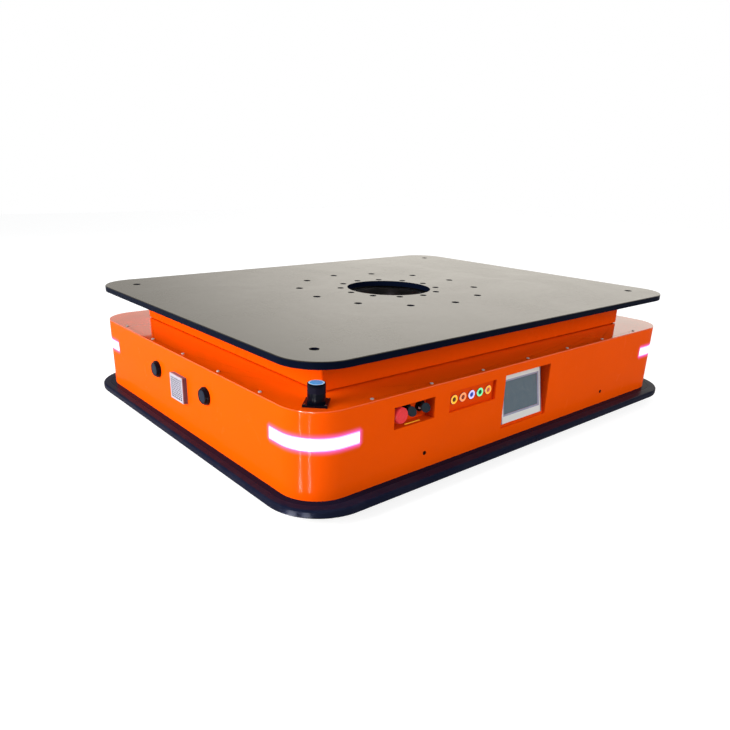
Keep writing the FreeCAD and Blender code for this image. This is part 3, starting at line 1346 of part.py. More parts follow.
def make_deck_screws():
    seat = deck_top - s.screw_head_depth
    screws = []
    for i in range(RING_HOLES):
        x, y = ring_place(i)
        shank = cylinder(f"deck_shank_{i}", s.deck_screw_shank / 2, (x, y, seat - s.deck_screw_length),
                         s.deck_screw_length + SLACK)
        head = cylinder(f"deck_head_{i}", s.deck_screw_head / 2, (x, y, seat), s.deck_screw_shank)
        socket = doc.addObject("Part::Prism", f"deck_socket_{i}")
        socket.Polygon = 6
        bind(socket, "Circumradius", s.deck_screw_socket)
        bind(socket, "Height", s.deck_screw_shank)
        for axis, place in zip("xyz", (x, y, seat + s.deck_screw_shank / 2)):
            bind(socket, f"Placement.Base.{axis}", place)
        screws.append(cut(f"deck_screw_{i}", fuse(f"deck_screw_solid_{i}", shank, head), socket))
    publish("deck_screws", group("deck_screws", *screws))


# ---------------------------------------------------------------- build, check, write
make_base_plate()
make_frame()
make_bumper()
make_shell()
make_lights()
make_cover()
make_cover_screws()
make_trays()
make_hmi()
make_estop()
make_selectors()
make_buttons()
make_side_devices()
make_scanners()
make_drive()
make_casters()
make_boxes()
make_posts()
make_jacks()
make_bushes()
make_skirt()
make_lift_frame()
make_slewing_ring()
make_turn_drive()
make_deck()
make_deck_screws()
doc.recompute()

for item in doc.Objects:
    if "Invalid" in item.State or "Error" in item.State:
        raise RuntimeError(f"{item.Name} failed: {item.State}")
for node, made in PARTS.items():
    if made.Shape.isNull() or not made.Shape.isValid() or not made.Shape.Solids:
        raise RuntimeError(f"{node} has no valid solid")

os.makedirs("parts", exist_ok=True)
for node, made in PARTS.items():
    made.Shape.exportStep(f"parts/{node}.step")
print(f"{len(PARTS)} sub-parts written")
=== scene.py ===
import math

import bmesh
import bpy
from mathutils import Matrix, Vector


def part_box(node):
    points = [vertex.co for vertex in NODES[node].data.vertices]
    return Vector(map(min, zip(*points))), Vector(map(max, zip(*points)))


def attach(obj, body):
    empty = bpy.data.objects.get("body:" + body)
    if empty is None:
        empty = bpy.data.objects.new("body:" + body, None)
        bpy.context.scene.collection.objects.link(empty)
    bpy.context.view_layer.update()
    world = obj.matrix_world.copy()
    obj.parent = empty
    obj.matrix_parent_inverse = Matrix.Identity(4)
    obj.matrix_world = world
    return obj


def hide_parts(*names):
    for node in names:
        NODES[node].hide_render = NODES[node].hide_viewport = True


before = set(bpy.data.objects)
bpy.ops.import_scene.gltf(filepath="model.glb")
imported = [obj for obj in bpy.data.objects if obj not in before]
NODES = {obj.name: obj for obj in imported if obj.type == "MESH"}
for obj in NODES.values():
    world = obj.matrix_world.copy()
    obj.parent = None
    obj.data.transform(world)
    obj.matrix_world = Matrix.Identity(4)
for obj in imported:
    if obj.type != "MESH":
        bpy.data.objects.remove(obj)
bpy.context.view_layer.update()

# The body's outer walls, in metres from the middle of the frame.
WALL_X, WALL_Y = 0.748, 0.580

# ---------------------------------------------------------------- camera
camera = bpy.data.objects.new("camera", bpy.data.cameras.new("camera"))
bpy.context.scene.collection.objects.link(camera)
# Set so that the render lines up with the photo: rotation vector, place, lens and shift.
turn = Vector((1.8527, -0.6514, 0.4817))
stand = (-1.4507, -1.5606, 0.7288)
to_camera = Matrix.Rotation(turn.length, 3, turn.normalized())
facing = (to_camera.transposed() @ Matrix.Diagonal((1, -1, -1))).to_4x4()
camera.matrix_world = Matrix.Translation(stand) @ facing
camera.data.sensor_width = 36.0
camera.data.lens = 31.78
camera.data.shift_x = 0.0142
camera.data.shift_y = 0.0656
bpy.context.scene.camera = camera


# ---------------------------------------------------------------- materials
class Shader:
    """A Principled material whose textures are laid out in the object's own metres."""

    def __init__(self, name, colour, rough, **fixed):
        self.material = bpy.data.materials.new(name)
        self.material.use_nodes = True
        self.nodes, self.links = self.material.node_tree.nodes, self.material.node_tree.links
        self.nodes.clear()
        self.output = self.nodes.new("ShaderNodeOutputMaterial")
        self.bsdf = self.nodes.new("ShaderNodeBsdfPrincipled")
        self.links.new(self.bsdf.outputs[0], self.output.inputs["Surface"])
        self.place = self.nodes.new("ShaderNodeTexCoord").outputs["Object"]
        self.feed(self.bsdf.inputs["Base Color"], colour)
        self.feed(self.bsdf.inputs["Roughness"], rough)
        for key, value in fixed.items():
            self.feed(self.bsdf.inputs[key.replace("_", " ")], value)

    def feed(self, socket, value):
        if isinstance(value, bpy.types.NodeSocket):
            self.links.new(value, socket)
        elif hasattr(value, "__len__") and socket.type == "RGBA":
            socket.default_value = (*value[:3], 1.0)
        else:
            socket.default_value = value

    def node(self, kind, settings=(), **inputs):
        made = self.nodes.new("ShaderNode" + kind)
        for key, value in dict(settings).items():
            setattr(made, key, value)
        for key, value in inputs.items():
            self.feed(made.inputs[key.replace("_", " ")], value)
        return made

    def stretched(self, scale):
        return self.node("Mapping", Vector=self.place, Scale=scale).outputs[0]

    def noise(self, scale, detail=3.0, rough=0.5, stretch=None, twist=0.0):
        where = self.stretched(stretch) if stretch else self.place
        return self.node("TexNoise", Vector=where, Scale=scale, Detail=detail, Roughness=rough,
                         Distortion=twist).outputs["Fac"]

    def span(self, value, low, high, start=0.0, end=1.0):
        """Map a value from start..end to low..high."""
        return self.node("MapRange", Value=value, From_Min=start, From_Max=end,
                         To_Min=low, To_Max=high).outputs[0]

    def tint(self, value, first, second):
        mix = self.node("Mix", {"data_type": "RGBA"})
        self.feed(mix.inputs[0], value)
        self.feed(mix.inputs[6], first)
        self.feed(mix.inputs[7], second)
        return mix.outputs[2]

    def math(self, operation, first, second=0.0):
        made = self.node("Math", {"operation": operation})
        self.feed(made.inputs[0], first)
        self.feed(made.inputs[1], second)
        return made.outputs[0]

    def base(self, socket):
        self.feed(self.bsdf.inputs["Base Color"], socket)

    def rough(self, socket):
        self.feed(self.bsdf.inputs["Roughness"], socket)

    def bump(self, height, distance, strength=1.0):
        bump = self.node("Bump", Height=height, Distance=distance, Strength=strength)
        earlier = self.bsdf.inputs["Normal"].links
        if earlier:
            self.links.new(earlier[0].from_socket, bump.inputs["Normal"])
        self.links.new(bump.outputs[0], self.bsdf.inputs["Normal"])
        return self


def shade(colour, factor):
    return tuple(min(1.0, channel * factor) for channel in colour)


def paint(name, colour, low=0.2, high=0.3, coat=0.0, peel=0.00006, gloss=0.1, ior=1.2):
    """Sprayed paint: orange peel, faint mottling and fine wiping marks."""
    shader = Shader(name, colour, 0.3, Coat_Weight=coat, Coat_Roughness=0.04, Specular_IOR_Level=gloss,
                    IOR=ior)
    mottle = shader.noise(5.0, 5.0, 0.6)
    shader.base(shader.tint(shader.span(mottle, 0.0, 1.0, 0.3, 0.75), shade(colour, 0.95), colour))
    wipes = shader.noise(9.0, 6.0, 0.7, twist=0.6)
    shader.rough(shader.span(wipes, low, high, 0.25, 0.75))
    return shader.bump(shader.noise(260.0, 2.0, 0.4), peel, 0.25)


def metal(name, colour, low=0.22, high=0.42, grain=(1.0, 60.0, 60.0), depth=0.00003):
    """Machined metal with a directional grain and slight staining."""
    shader = Shader(name, colour, 0.3, Metallic=1.0)
    stain = shader.noise(28.0, 5.0, 0.65)
    stained = shader.span(stain, 0.0, 1.0, 0.3, 0.8)
    shader.base(shader.tint(stained, shade(colour, 0.8), shade(colour, 1.08)))
    lines = shader.noise(24.0, 4.0, 0.6, stretch=grain)
    shader.rough(shader.span(lines, low, high, 0.25, 0.75))
    return shader.bump(lines, depth, 0.5)


def plastic(name, colour, low=0.3, high=0.45, texture=900.0, depth=0.00004, **fixed):
    """Moulded plastic: fine spark-eroded texture, faint scuffs."""
    shader = Shader(name, colour, 0.4, **fixed)
    scuff = shader.noise(55.0, 5.0, 0.7)
    scuffed = shader.span(scuff, 0.0, 1.0, 0.35, 0.85)
    shader.base(shader.tint(scuffed, shade(colour, 0.88), shade(colour, 1.15)))
    shader.rough(shader.span(scuff, low, high, 0.3, 0.8))
    return shader.bump(shader.noise(texture, 2.0, 0.5), depth, 0.4)


def lens(name, colour, strength):
    """Coloured plastic that glows by itself."""
    shader = plastic(name, colour, 0.2, 0.3, Specular_IOR_Level=0.3)
    shader.bsdf.inputs["Emission Color"].default_value = (*colour, 1.0)
    shader.bsdf.inputs["Emission Strength"].default_value = strength
    return shader


ORANGE = (0.92, 0.092, 0.0008)
body_paint = paint("orange_body_paint", ORANGE, coat=0.05, ior=1.12)
cover_paint = paint("orange_cover_paint", ORANGE, 0.08, 0.14, 0.9, 0.00003, 0.5, 1.5)
lift_paint = paint("orange_lift_paint", (0.90, 0.084, 0.0008), 0.22, 0.34)
# Darker, redder orange for the recessed trays than for the body: painted shade.
recess_painted_shade = paint("orange_recess_paint", (0.80, 0.064, 0.002), 0.3, 0.45)

deck = Shader("black_anodised_deck", (0.02, 0.021, 0.023), 0.3, IOR=1.6, Coat_Weight=0.6,
              Coat_Roughness=0.2)
brush = deck.noise(18.0, 5.0, 0.65, stretch=(1.0, 34.0, 1.0))
smudge = deck.noise(3.2, 6.0, 0.62, twist=1.2)
spots = deck.noise(60.0, 4.0, 0.7)
deck.base(deck.tint(deck.span(smudge, 0.0, 1.0, 0.35, 0.8), (0.020, 0.018, 0.014), (0.044, 0.039, 0.030)))
haze = deck.math("ADD", deck.span(smudge, 0.0, 0.1, 0.3, 0.75), deck.span(brush, 0.0, 0.05, 0.3, 0.7))
deck.rough(deck.math("ADD", haze, deck.span(spots, 0.16, 0.2, 0.3, 0.8)))
deck.bump(brush, 0.00002, 0.3)
# Darker navy black for the deck's faces that don't point up: painted shade.
deck_edge = paint("black_deck_edge", (0.002, 0.004, 0.013), 0.2, 0.32, 0.0, 0.00004, 0.08)

frame_coat = paint("black_frame_coat", (0.022, 0.023, 0.025), 0.35, 0.5, 0.0, 0.00009)
ledge_coat = paint("black_ledge_coat", (0.005, 0.007, 0.020), 0.1, 0.2, 0.0, 0.00003, 0.09)
machine_grey = paint("grey_machine_paint", (0.16, 0.17, 0.18), 0.3, 0.45, 0.2)
battery_paint = paint("battery_case_paint", (0.05, 0.07, 0.11), 0.32, 0.48, 0.2)

bumper = Shader("bumper_rubber", (0.010, 0.012, 0.021), 0.28, Specular_IOR_Level=0.08, IOR=1.3)
dust = bumper.noise(14.0, 6.0, 0.7)
dusty = bumper.span(dust, 0.0, 1.0, 0.45, 0.9)
bumper.base(bumper.tint(dusty, (0.006, 0.008, 0.022), (0.016, 0.018, 0.034)))
bumper.rough(bumper.span(dust, 0.26, 0.4, 0.3, 0.8))
bumper.bump(bumper.noise(700.0, 2.0, 0.5), 0.00003, 0.4)

tyre = Shader("polyurethane_tyre", (0.03, 0.03, 0.032), 0.6)
wear = tyre.noise(38.0, 6.0, 0.7)
tyre.base(tyre.tint(tyre.span(wear, 0.0, 1.0, 0.3, 0.8), (0.02, 0.02, 0.021), (0.075, 0.072, 0.07)))
tyre.rough(tyre.span(wear, 0.5, 0.75, 0.3, 0.8))
tyre.bump(wear, 0.0002, 0.5)

zinc = metal("zinc_screws", (0.78, 0.76, 0.72), 0.16, 0.3, (1.0, 1.0, 1.0))
# Screw heads in light grey plastic rather than metal, so each shows a bright glint: painted highlight.
bright = plastic("bright_screw_heads", (0.42, 0.40, 0.38), 0.18, 0.28)
black_steel = metal("black_oxide_steel", (0.09, 0.09, 0.095), 0.3, 0.45, (1.0, 1.0, 1.0))
blackened = plastic("blackened_screws", (0.004, 0.004, 0.005), 0.35, 0.5, Specular_IOR_Level=0.05, IOR=1.1)
steel = metal("machined_steel", (0.5, 0.5, 0.5))
bronze = metal("bearing_bronze", (0.55, 0.36, 0.15))
alloy = metal("cast_alloy", (0.55, 0.55, 0.57), 0.35, 0.55, (1.0, 1.0, 1.0), 0.0001)
chrome = metal("bright_ring", (0.9, 0.9, 0.92), 0.06, 0.14, (1.0, 1.0, 1.0), 0.00001)

bezel_metal = Shader("satin_silver_bezel", (0.78, 0.80, 0.78), 0.35, Metallic=0.1)
lines = bezel_metal.noise(60.0, 4.0, 0.6, stretch=(1.0, 8.0, 30.0))
bezel_metal.base(bezel_metal.tint(lines, (0.74, 0.77, 0.75), (0.86, 0.87, 0.84)))
bezel_metal.rough(bezel_metal.span(lines, 0.28, 0.46))
bezel_metal.bump(lines, 0.00002, 0.4)

bezel_inner = plastic("bezel_inner_edge", (0.34, 0.34, 0.46), 0.35, 0.45)
# Darker mauve grey for the bezel's outer and back faces, turned away from the light: painted shade.
bezel_painted_shade = plastic("bezel_painted_shade", (0.20, 0.18, 0.25), 0.35, 0.45)

screen = Shader("display_glass", (0.085, 0.13, 0.165), 0.12, Coat_Weight=0.5, Coat_Roughness=0.05)
grease = screen.noise(26.0, 6.0, 0.72, twist=1.5)
screen.base(screen.tint(screen.span(grease, 0.0, 1.0, 0.3, 0.8), (0.075, 0.12, 0.155), (0.105, 0.15, 0.18)))
screen.rough(screen.span(grease, 0.1, 0.34, 0.3, 0.8))
screen.bump(grease, 0.00001, 0.3)

black = plastic("black_plastic", (0.003, 0.004, 0.008), 0.22, 0.36, Specular_IOR_Level=0.12)
slate = plastic("slate_plastic", (0.014, 0.024, 0.036), 0.32, 0.46, Specular_IOR_Level=0.2)
navy = plastic("sensor_membrane", (0.006, 0.014, 0.032), 0.28, 0.42, Specular_IOR_Level=0.15)
red = plastic("red_mushroom", (0.95, 0.050, 0.062), 0.3, 0.42, 700.0, 0.00003, Specular_IOR_Level=0.25)
# White patch on the right selector handle only, where it catches a highlight: painted highlight.
white_painted_highlight = plastic("white_painted_highlight", (0.85, 0.86, 0.88), 0.4, 0.5)
# The yellow strip is no lamp; its glow is painted light.
yellow_painted_glow = lens("yellow_strip", (0.90, 0.46, 0.03), 0.35)
# The sounder housing's sides are darker than its grille: painted shade.
grey_painted_shade = plastic("shaded_grey_plastic", (0.15, 0.11, 0.16), 0.38, 0.5, Specular_IOR_Level=0.15)
grey = plastic("light_grey_plastic", (0.40, 0.39, 0.46), 0.38, 0.5, Specular_IOR_Level=0.15)
# Near-black sheet behind the grille's slots: painted shade.
slot_painted_shade = plastic("slot_painted_shade", (0.025, 0.032, 0.055), 0.5, 0.65, Specular_IOR_Level=0.1)
scanner_body = plastic("scanner_housing", (0.002, 0.003, 0.007), 0.1, 0.16, Specular_IOR_Level=0.3,
                       IOR=1.25)
scanner_glass = plastic("scanner_window", (0.008, 0.007, 0.016), 0.1, 0.18, Specular_IOR_Level=0.2, IOR=1.2)
# The scanner caps' blue disc and pale ring are no lamps; their glow is painted light.
cap_blue_painted_glow = lens("scanner_cap_blue", (0.05, 0.24, 0.55), 0.55)
cap_ring_painted_glow = lens("scanner_cap_ring", (0.42, 0.66, 0.92), 0.35)


def band(shader, middle):
    """Distance above or below a level, in the object's own metres."""
    height = shader.node("SeparateXYZ", Vector=shader.place).outputs[2]
    return shader.math("ABSOLUTE", shader.math("SUBTRACT", height, middle))


light_low, light_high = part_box("corner_lights")
LIGHT_LEVEL, LIGHT_REACH = (light_low.z + light_high.z) / 2, (light_high.z - light_low.z) / 2
lit = Shader("lit_diffuser", (0.5, 0.3, 0.45), 0.35)
edge = lit.span(band(lit, LIGHT_LEVEL), 0.0, 1.0, LIGHT_REACH * 0.62, LIGHT_REACH)
grain = lit.span(lit.noise(160.0, 3.0, 0.6), -0.04, 0.04, 0.3, 0.7)
glow_colour = lit.tint(lit.math("ADD", edge, grain), (1.0, 0.96, 1.0), (0.95, 0.22, 0.75))
lit.base(lit.tint(edge, (0.7, 0.66, 0.7), (0.30, 0.06, 0.22)))
lit.feed(lit.bsdf.inputs["Emission Color"], glow_colour)
lit.bsdf.inputs["Emission Strength"].default_value = 0.95
lit.bump(lit.noise(240.0, 2.0, 0.5), 0.00004, 0.3)

# The paint's own emission paints the diffusers' pink light round them: painted glow. They begin this far
# from the middle along X and Y.
LIGHT_STARTS = (0.606, 0.438)
where = body_paint.node("SeparateXYZ", Vector=body_paint.place).outputs
short_of = [body_paint.math("SUBTRACT", start, body_paint.math("ABSOLUTE", where[axis]))
            for axis, start in enumerate(LIGHT_STARTS)]
past_ends = body_paint.math("MAXIMUM", *short_of)
past_edge = body_paint.math("SUBTRACT", band(body_paint, LIGHT_LEVEL), LIGHT_REACH)
away = body_paint.math("ADD", body_paint.math("MAXIMUM", past_ends), body_paint.math("MAXIMUM", past_edge))
painted_glow = body_paint.span(away, 1.0, 0.0, 0.0, 0.013)
body_paint.feed(body_paint.bsdf.inputs["Emission Color"], body_paint.tint(
    body_paint.math("POWER", painted_glow, 2.2), (0.0, 0.0, 0.0), (0.55, 0.10, 0.72)))
body_paint.bsdf.inputs["Emission Strength"].default_value = 0.85


# Push buttons from left to right: name, colour of the lens, colour of the lit ring.
LENSES = [("amber", (0.10, 0.045, 0.005), (1.0, 0.50, 0.04)),
          ("coral", (0.28, 0.05, 0.02), (1.0, 0.34, 0.13)),
          ("blue", (0.02, 0.06, 0.46), (0.62, 0.58, 1.0)),
          ("green", (0.002, 0.10, 0.03), (0.20, 0.85, 0.40)),
          ("gold", (0.62, 0.12, 0.08), (1.0, 0.44, 0.06))]


# ---------------------------------------------------------------- geometry
SIDE_UP = {"z": Matrix.Identity(3), "-y": Matrix.Rotation(math.pi / 2, 3, "X"),
           "-x": Matrix.Rotation(-math.pi / 2, 3, "Y"), "y": Matrix.Rotation(-math.pi / 2, 3, "X")}


def turned(profile, segments):
    """Rings of points: each (radius, height) pair goes once round Z."""
    angles = [2 * math.pi * i / segments for i in range(segments)]
    return [[(r * math.cos(a), r * math.sin(a), h) for a in angles] for r, h in profile]


class Piece:
    """Mesh built up from turned, boxed and lofted forms, each with its own material."""

    def __init__(self, name):
        self.name, self.mesh, self.materials = name, bmesh.new(), []

    def slot(self, shader):
        if shader.material not in self.materials:
            self.materials.append(shader.material)
        return self.materials.index(shader.material)

    def paste(self, verts, faces, shader, place):
        slot = self.slot(shader)
        made = [self.mesh.verts.new(place @ Vector(v)) for v in verts]
        for face in faces:
            self.mesh.faces.new([made[i] for i in face]).material_index = slot

    def loft(self, rings, shader, place=Matrix.Identity(4), close=True):
        """Join rings of equal length; the first and last are capped."""
        count = len(rings[0])
        verts = [v for ring in rings for v in ring]
        faces = []
        for r in range(len(rings) - 1):
            for i in range(count):
                j = (i + 1) % count
                a, b = r * count, (r + 1) * count
                faces.append((a + i, a + j, b + j, b + i))
        if close:
            faces.append(tuple(reversed(range(count))))
            last = (len(rings) - 1) * count
            faces.append(tuple(range(last, last + count)))
        self.paste(verts, faces, shader, place)

    def lathe(self, profile, shader, centre, axis="z", segments=64):
        """Turn (radius, height) points; radii stay above zero and both ends are capped."""
        self.loft(turned(profile, segments), shader, Matrix.Translation(centre) @ SIDE_UP[axis].to_4x4())

    def ring(self, profile, shader, centre, axis="z", segments=64):
        """Turn a closed (radius, height) outline."""
        self.loft(turned(profile + profile[:1], segments), shader,
                  Matrix.Translation(centre) @ SIDE_UP[axis].to_4x4(), close=False)

    def box(self, low, high, shader, place=Matrix.Identity(4)):
        (x0, y0, z0), (x1, y1, z1) = low, high
        ring = [(x0, y0), (x1, y0), (x1, y1), (x0, y1)]
        self.loft([[(x, y, z) for x, y in ring] for z in (z0, z1)], shader, place)

    def make(self, body, bevel=0.0, segments=2, angle=35.0):
        bmesh.ops.remove_doubles(self.mesh, verts=self.mesh.verts, dist=1e-7)
        bmesh.ops.recalc_face_normals(self.mesh, faces=self.mesh.faces)
        data = bpy.data.meshes.new(self.name)
        self.mesh.to_mesh(data)
        self.mesh.free()
        for material in self.materials:
            data.materials.append(material)
        made = bpy.data.objects.new(self.name, data)
        bpy.context.scene.collection.objects.link(made)
        smooth(made, angle)
        if bevel:
            soften(made, bevel, segments)
        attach(made, body)
        return made


def smooth(made, angle=35.0):
    made.data.shade_smooth()
    made.data.set_sharp_from_angle(angle=math.radians(angle))


def soften(made, width, segments=2):
    bevel = made.modifiers.new("edges", "BEVEL")
    bevel.width, bevel.segments, bevel.limit_method = width, segments, "ANGLE"
    bevel.angle_limit = math.radians(40.0)
    bevel.harden_normals = True
    bevel.use_clamp_overlap = True


def dress(node, shader, bevel=0.0, angle=35.0):
    """Give a CAD node its finish, smooth its curved faces and soften its edges."""
    made = NODES[node]
    made.data.materials.clear()
    made.data.materials.append(shader.material)
    made.data.shade_smooth()
    weld = made.modifiers.new("weld", "WELD")
    weld.merge_threshold = 1e-6
    if bevel:
        soften(made, bevel)
        made.modifiers.new("normals", "WEIGHTED_NORMAL").keep_sharp = True
    else:
        split = made.modifiers.new("creases", "EDGE_SPLIT")
        split.split_angle = math.radians(angle)


def ellipse(length, width, height, spin, count=40):
    """Ring of points with the two half axes, turned by spin."""
    c, s = math.cos(spin), math.sin(spin)
    ring = []
    for i in range(count):
        a = 2 * math.pi * i / count
        along, across = length * math.cos(a), width * math.sin(a)
        ring.append((along * c - across * s, along * s + across * c, height))
    return ring


# ---------------------------------------------------------------- finishes of the solids
FINISH = {
    "base_plate": (ledge_coat, 0.001), "chassis_frame": (frame_coat, 0.0), "bumper_left": (bumper, 0.0),
    "bumper_right": (bumper, 0.0), "body_shell": (body_paint, 0.0), "corner_lights": (lit, 0.0),
    "top_cover": (cover_paint, 0.0007), "control_trays": (recess_painted_shade, 0.0),
    "estop_base": (black, 0.0006), "selector_bases": (black, 0.0006),
    "scanner_bases": (scanner_body, 0.0008), "scanner_windows": (scanner_glass, 0.0),
    "battery_pack": (battery_paint, 0.002), "control_box": (machine_grey, 0.002),
    "lift_jacks": (machine_grey, 0.001), "guide_posts": (steel, 0.001),
    "drive_gearmotors": (machine_grey, 0.001),
    "lift_skirt": (lift_paint, 0.0006), "lift_frame": (frame_coat, 0.0), "ball_nuts": (steel, 0.0006),
    "guide_bushes": (bronze, 0.0004), "slew_inner_race": (steel, 0.0), "turn_motor": (machine_grey, 0.001),
    "deck_plate": (deck, 0.0), "slew_outer_race": (black_steel, 0.0), "deck_screws": (blackened, 0.0004),
    "slew_ball_cage": (steel, 0.0), "turn_pinion": (steel, 0.0), "estop_plunger": (black, 0.0004),
}
for node, (finish, bevel_width) in FINISH.items():
    dress(node, finish, bevel_width)
# The deck's top is brushed; its rim, holes and underside, the faces that don't point up, are darker: painted
# shade.
deck_mesh = NODES["deck_plate"].data
deck_mesh.materials.append(deck_edge.material)
for face in deck_mesh.polygons:
    face.material_index = 0 if face.normal.z > 0.5 else 1
for side in ("left", "right"):
    dress(f"ball_screw_{side}", steel)
    dress(f"drive_hub_{side}", alloy, 0.001)
    dress(f"drive_tyre_{side}", tyre)
    dress(f"scanner_rotor_{side}", alloy)
for corner in ("front_left", "front_right", "rear_left", "rear_right"):
    dress(f"caster_fork_{corner}", zinc, 0.0008)
    dress(f"caster_wheel_{corner}", tyre, 0.0006)


# ---------------------------------------------------------------- emergency stop and selectors
def panel_point(node, face):
    """Axis of a switch, on the face of its panel."""
    low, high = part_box(node)
    return Vector(((low.x + high.x) / 2, face, (low.z + high.z) / 2))


SWITCH_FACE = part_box("estop_base")[0].y + 0.006
BUTTON_FACE = 0.010 - WALL_Y

stop = Piece("estop_mushroom")
at = panel_point("estop_head", SWITCH_FACE)
stop.lathe([(0.0061, 0.0120), (0.0118, 0.0120), (0.0132, 0.0132), (0.0182, 0.0158), (0.0197, 0.0182),
            (0.0200, 0.0205), (0.0200, 0.0250), (0.0197, 0.0276), (0.0186, 0.0297), (0.0172, 0.0307),
            (0.0160, 0.0309), (0.0151, 0.0304), (0.0146, 0.0299), (0.0120, 0.0300), (0.0070, 0.0303),
            (0.0001, 0.0304)], red, at, "-y", 96)
# Three raised turn marks on its face.
for turn_mark in range(3):
    start = 2 * math.pi * turn_mark / 3
    rail = [start + math.radians(step) for step in range(8, 72, 8)]
    rings = []
    for a in rail:
        thick = 0.0011 if a < rail[-2] else 0.0004
        rings.append([(r * math.cos(a), r * math.sin(a), h) for r, h in (
            (0.0105 - thick, 0.0298), (0.0105 + thick, 0.0298), (0.0105 + thick, 0.0306),
            (0.0105 - thick, 0.0306))])
    stop.loft(rings, red, Matrix.Translation(at) @ SIDE_UP["-y"].to_4x4())
made = stop.make("estop_mushroom", angle=30.0)
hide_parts("estop_head")

for side, tilt in (("left", -40.0), ("right", -32.0)):
    knob = Piece(f"selector_handle_{side}")
    at = panel_point(f"selector_knob_{side}", SWITCH_FACE)
    knob.lathe([(0.0040, -0.0200), (0.0040, 0.0032), (0.0112, 0.0032), (0.0120, 0.0040), (0.0120, 0.0074),
                (0.0112, 0.0086), (0.0100, 0.0092), (0.0001, 0.0092)], black, at, "-y", 64)
    spin = math.radians(tilt)
    place = Matrix.Translation(at) @ SIDE_UP["-y"].to_4x4()
    shape = [(0.0118, 0.0072, 0.0085), (0.0132, 0.0080, 0.0120), (0.0152, 0.0092, 0.0170),
             (0.0170, 0.0112, 0.0205), (0.0174, 0.0116, 0.0220)]
    knob.loft([ellipse(a, b, h, spin) for a, b, h in shape], black, place)
    face = [(0.0174, 0.0116, 0.0220), (0.0171, 0.0113, 0.0228), (0.0162, 0.0105, 0.0231),
            (0.0120, 0.0060, 0.0229)]
    knob.loft([ellipse(a, b, h, spin) for a, b, h in face], slate, place)
    # Only the right handle gets the white patch: a painted highlight.
    if side == "right":
        knob.box((-0.0132, -0.0030, 0.0098), (-0.0100, 0.0012, 0.0148), white_painted_highlight, place)
    made = knob.make(f"selector_{side}", angle=32.0)
    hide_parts(f"selector_knob_{side}")

# Thin yellow strip on the recess edge; its glow is painted light.
strip = Piece("recess_edge_strip")
strip.box((-0.4600, -0.5705, 0.1730), (-0.4105, -0.5675, 0.1742), yellow_painted_glow)
strip.make("chassis", 0.0004)

# ---------------------------------------------------------------- push buttons
rings = Piece("push_button_rings")
for number, (name, dark, light) in enumerate(LENSES, start=1):
    at = panel_point(f"push_button_{number}", BUTTON_FACE)
    rings.ring([(0.00805, -0.0220), (0.0109, -0.0220), (0.0109, 0.0), (0.0125, 0.0), (0.0125, 0.0022),
                (0.0119, 0.0032), (0.0110, 0.0035), (0.0092, 0.0035), (0.00805, 0.0030)],
               chrome, at, "-y", 64)
    rings.lathe([(0.0135, -0.0220), (0.0135, -0.0022), (0.0112, -0.0021)], black, at, "-y", 40)
    rings.ring([(0.00805, 0.0032), (0.0114, 0.0034), (0.0110, 0.0041), (0.0084, 0.0041)],
               lens(f"halo_{name}", light, 0.6), at, "-y", 64)
    cap = Piece(f"push_button_cap_{number}")
    cap.lathe([(0.0080, -0.0180), (0.0080, 0.0022), (0.0076, 0.0030), (0.0062, 0.0033)],
              lens(f"collar_{name}", light, 0.35), at, "-y", 64)
    cap.lathe([(0.0063, 0.0020), (0.0061, 0.0034), (0.0052, 0.0038), (0.0030, 0.0040), (0.0001, 0.0041)],
              lens(f"lens_{name}", dark, 0.1), at, "-y", 48)
    made = cap.make(f"button_{number}", angle=32.0)
    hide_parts(f"push_button_{number}")
made = rings.make("chassis", angle=30.0)
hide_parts("button_bezels")

# ---------------------------------------------------------------- touch panel
LIP, DEPTH, HEIGHT = 0.0105, 0.0345, 0.147          # depth in the wall below and above, height
PANEL_X, PANEL_Z = -0.006, 0.083                    # middle along X, lower edge
FRAME_HALF, SCREEN_HALF = 0.0950, 0.0750            # half widths of the bezel and the screen
slope = math.atan2(DEPTH - LIP, HEIGHT)
slant = math.hypot(DEPTH - LIP, HEIGHT)
tilted = Matrix.Translation((PANEL_X, LIP - WALL_Y, PANEL_Z)) @ Matrix.Rotation(-slope, 4, "X")


def frame_ring(half, low, high, out):
    """Corners of a rectangle on the tilted panel; low and high are its distances from the panel's edges."""
    return [(-half, -out, low), (half, -out, low), (half, -out, slant - high), (-half, -out, slant - high)]


outer_back = [(-FRAME_HALF, -0.0030, 0.0030), (FRAME_HALF, -0.0030, 0.0030),
              (FRAME_HALF, 0.0090, slant - 0.0030), (-FRAME_HALF, 0.0090, slant - 0.0030)]
outer_rim = frame_ring(FRAME_HALF, 0.0030, 0.0030, 0.0034)
crest = frame_ring(0.0862, 0.0042, 0.0042, 0.0060)
brow = frame_ring(0.0815, 0.0236, 0.0256, 0.0060)
sill = frame_ring(SCREEN_HALF + 0.0002, 0.0288, 0.0308, 0.0046)
bezel = Piece("panel_bezel")
# The outer and back faces take the darker grey: painted shade.
bezel.loft([outer_back, outer_rim, crest], bezel_painted_shade, tilted, close=False)
bezel.loft([crest, brow], bezel_metal, tilted, close=False)
bezel.loft([brow, sill], bezel_inner, tilted, close=False)
bezel.loft([sill, outer_back], bezel_painted_shade, tilted, close=False)
made = bezel.make("chassis", 0.0006, 2, 12.0)
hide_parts("hmi_bezel")
glass = Piece("panel_screen")
glass.box((-SCREEN_HALF, -0.0044, 0.0290), (SCREEN_HALF, -0.0030, slant - 0.0310), screen, tilted)
made = glass.make("chassis")
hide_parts("hmi_screen")

# ---------------------------------------------------------------- sounder
low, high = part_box("sounder")
sounder = Piece("sounder_grille")
front, rim, layer = low.x, 0.0062, 0.0024
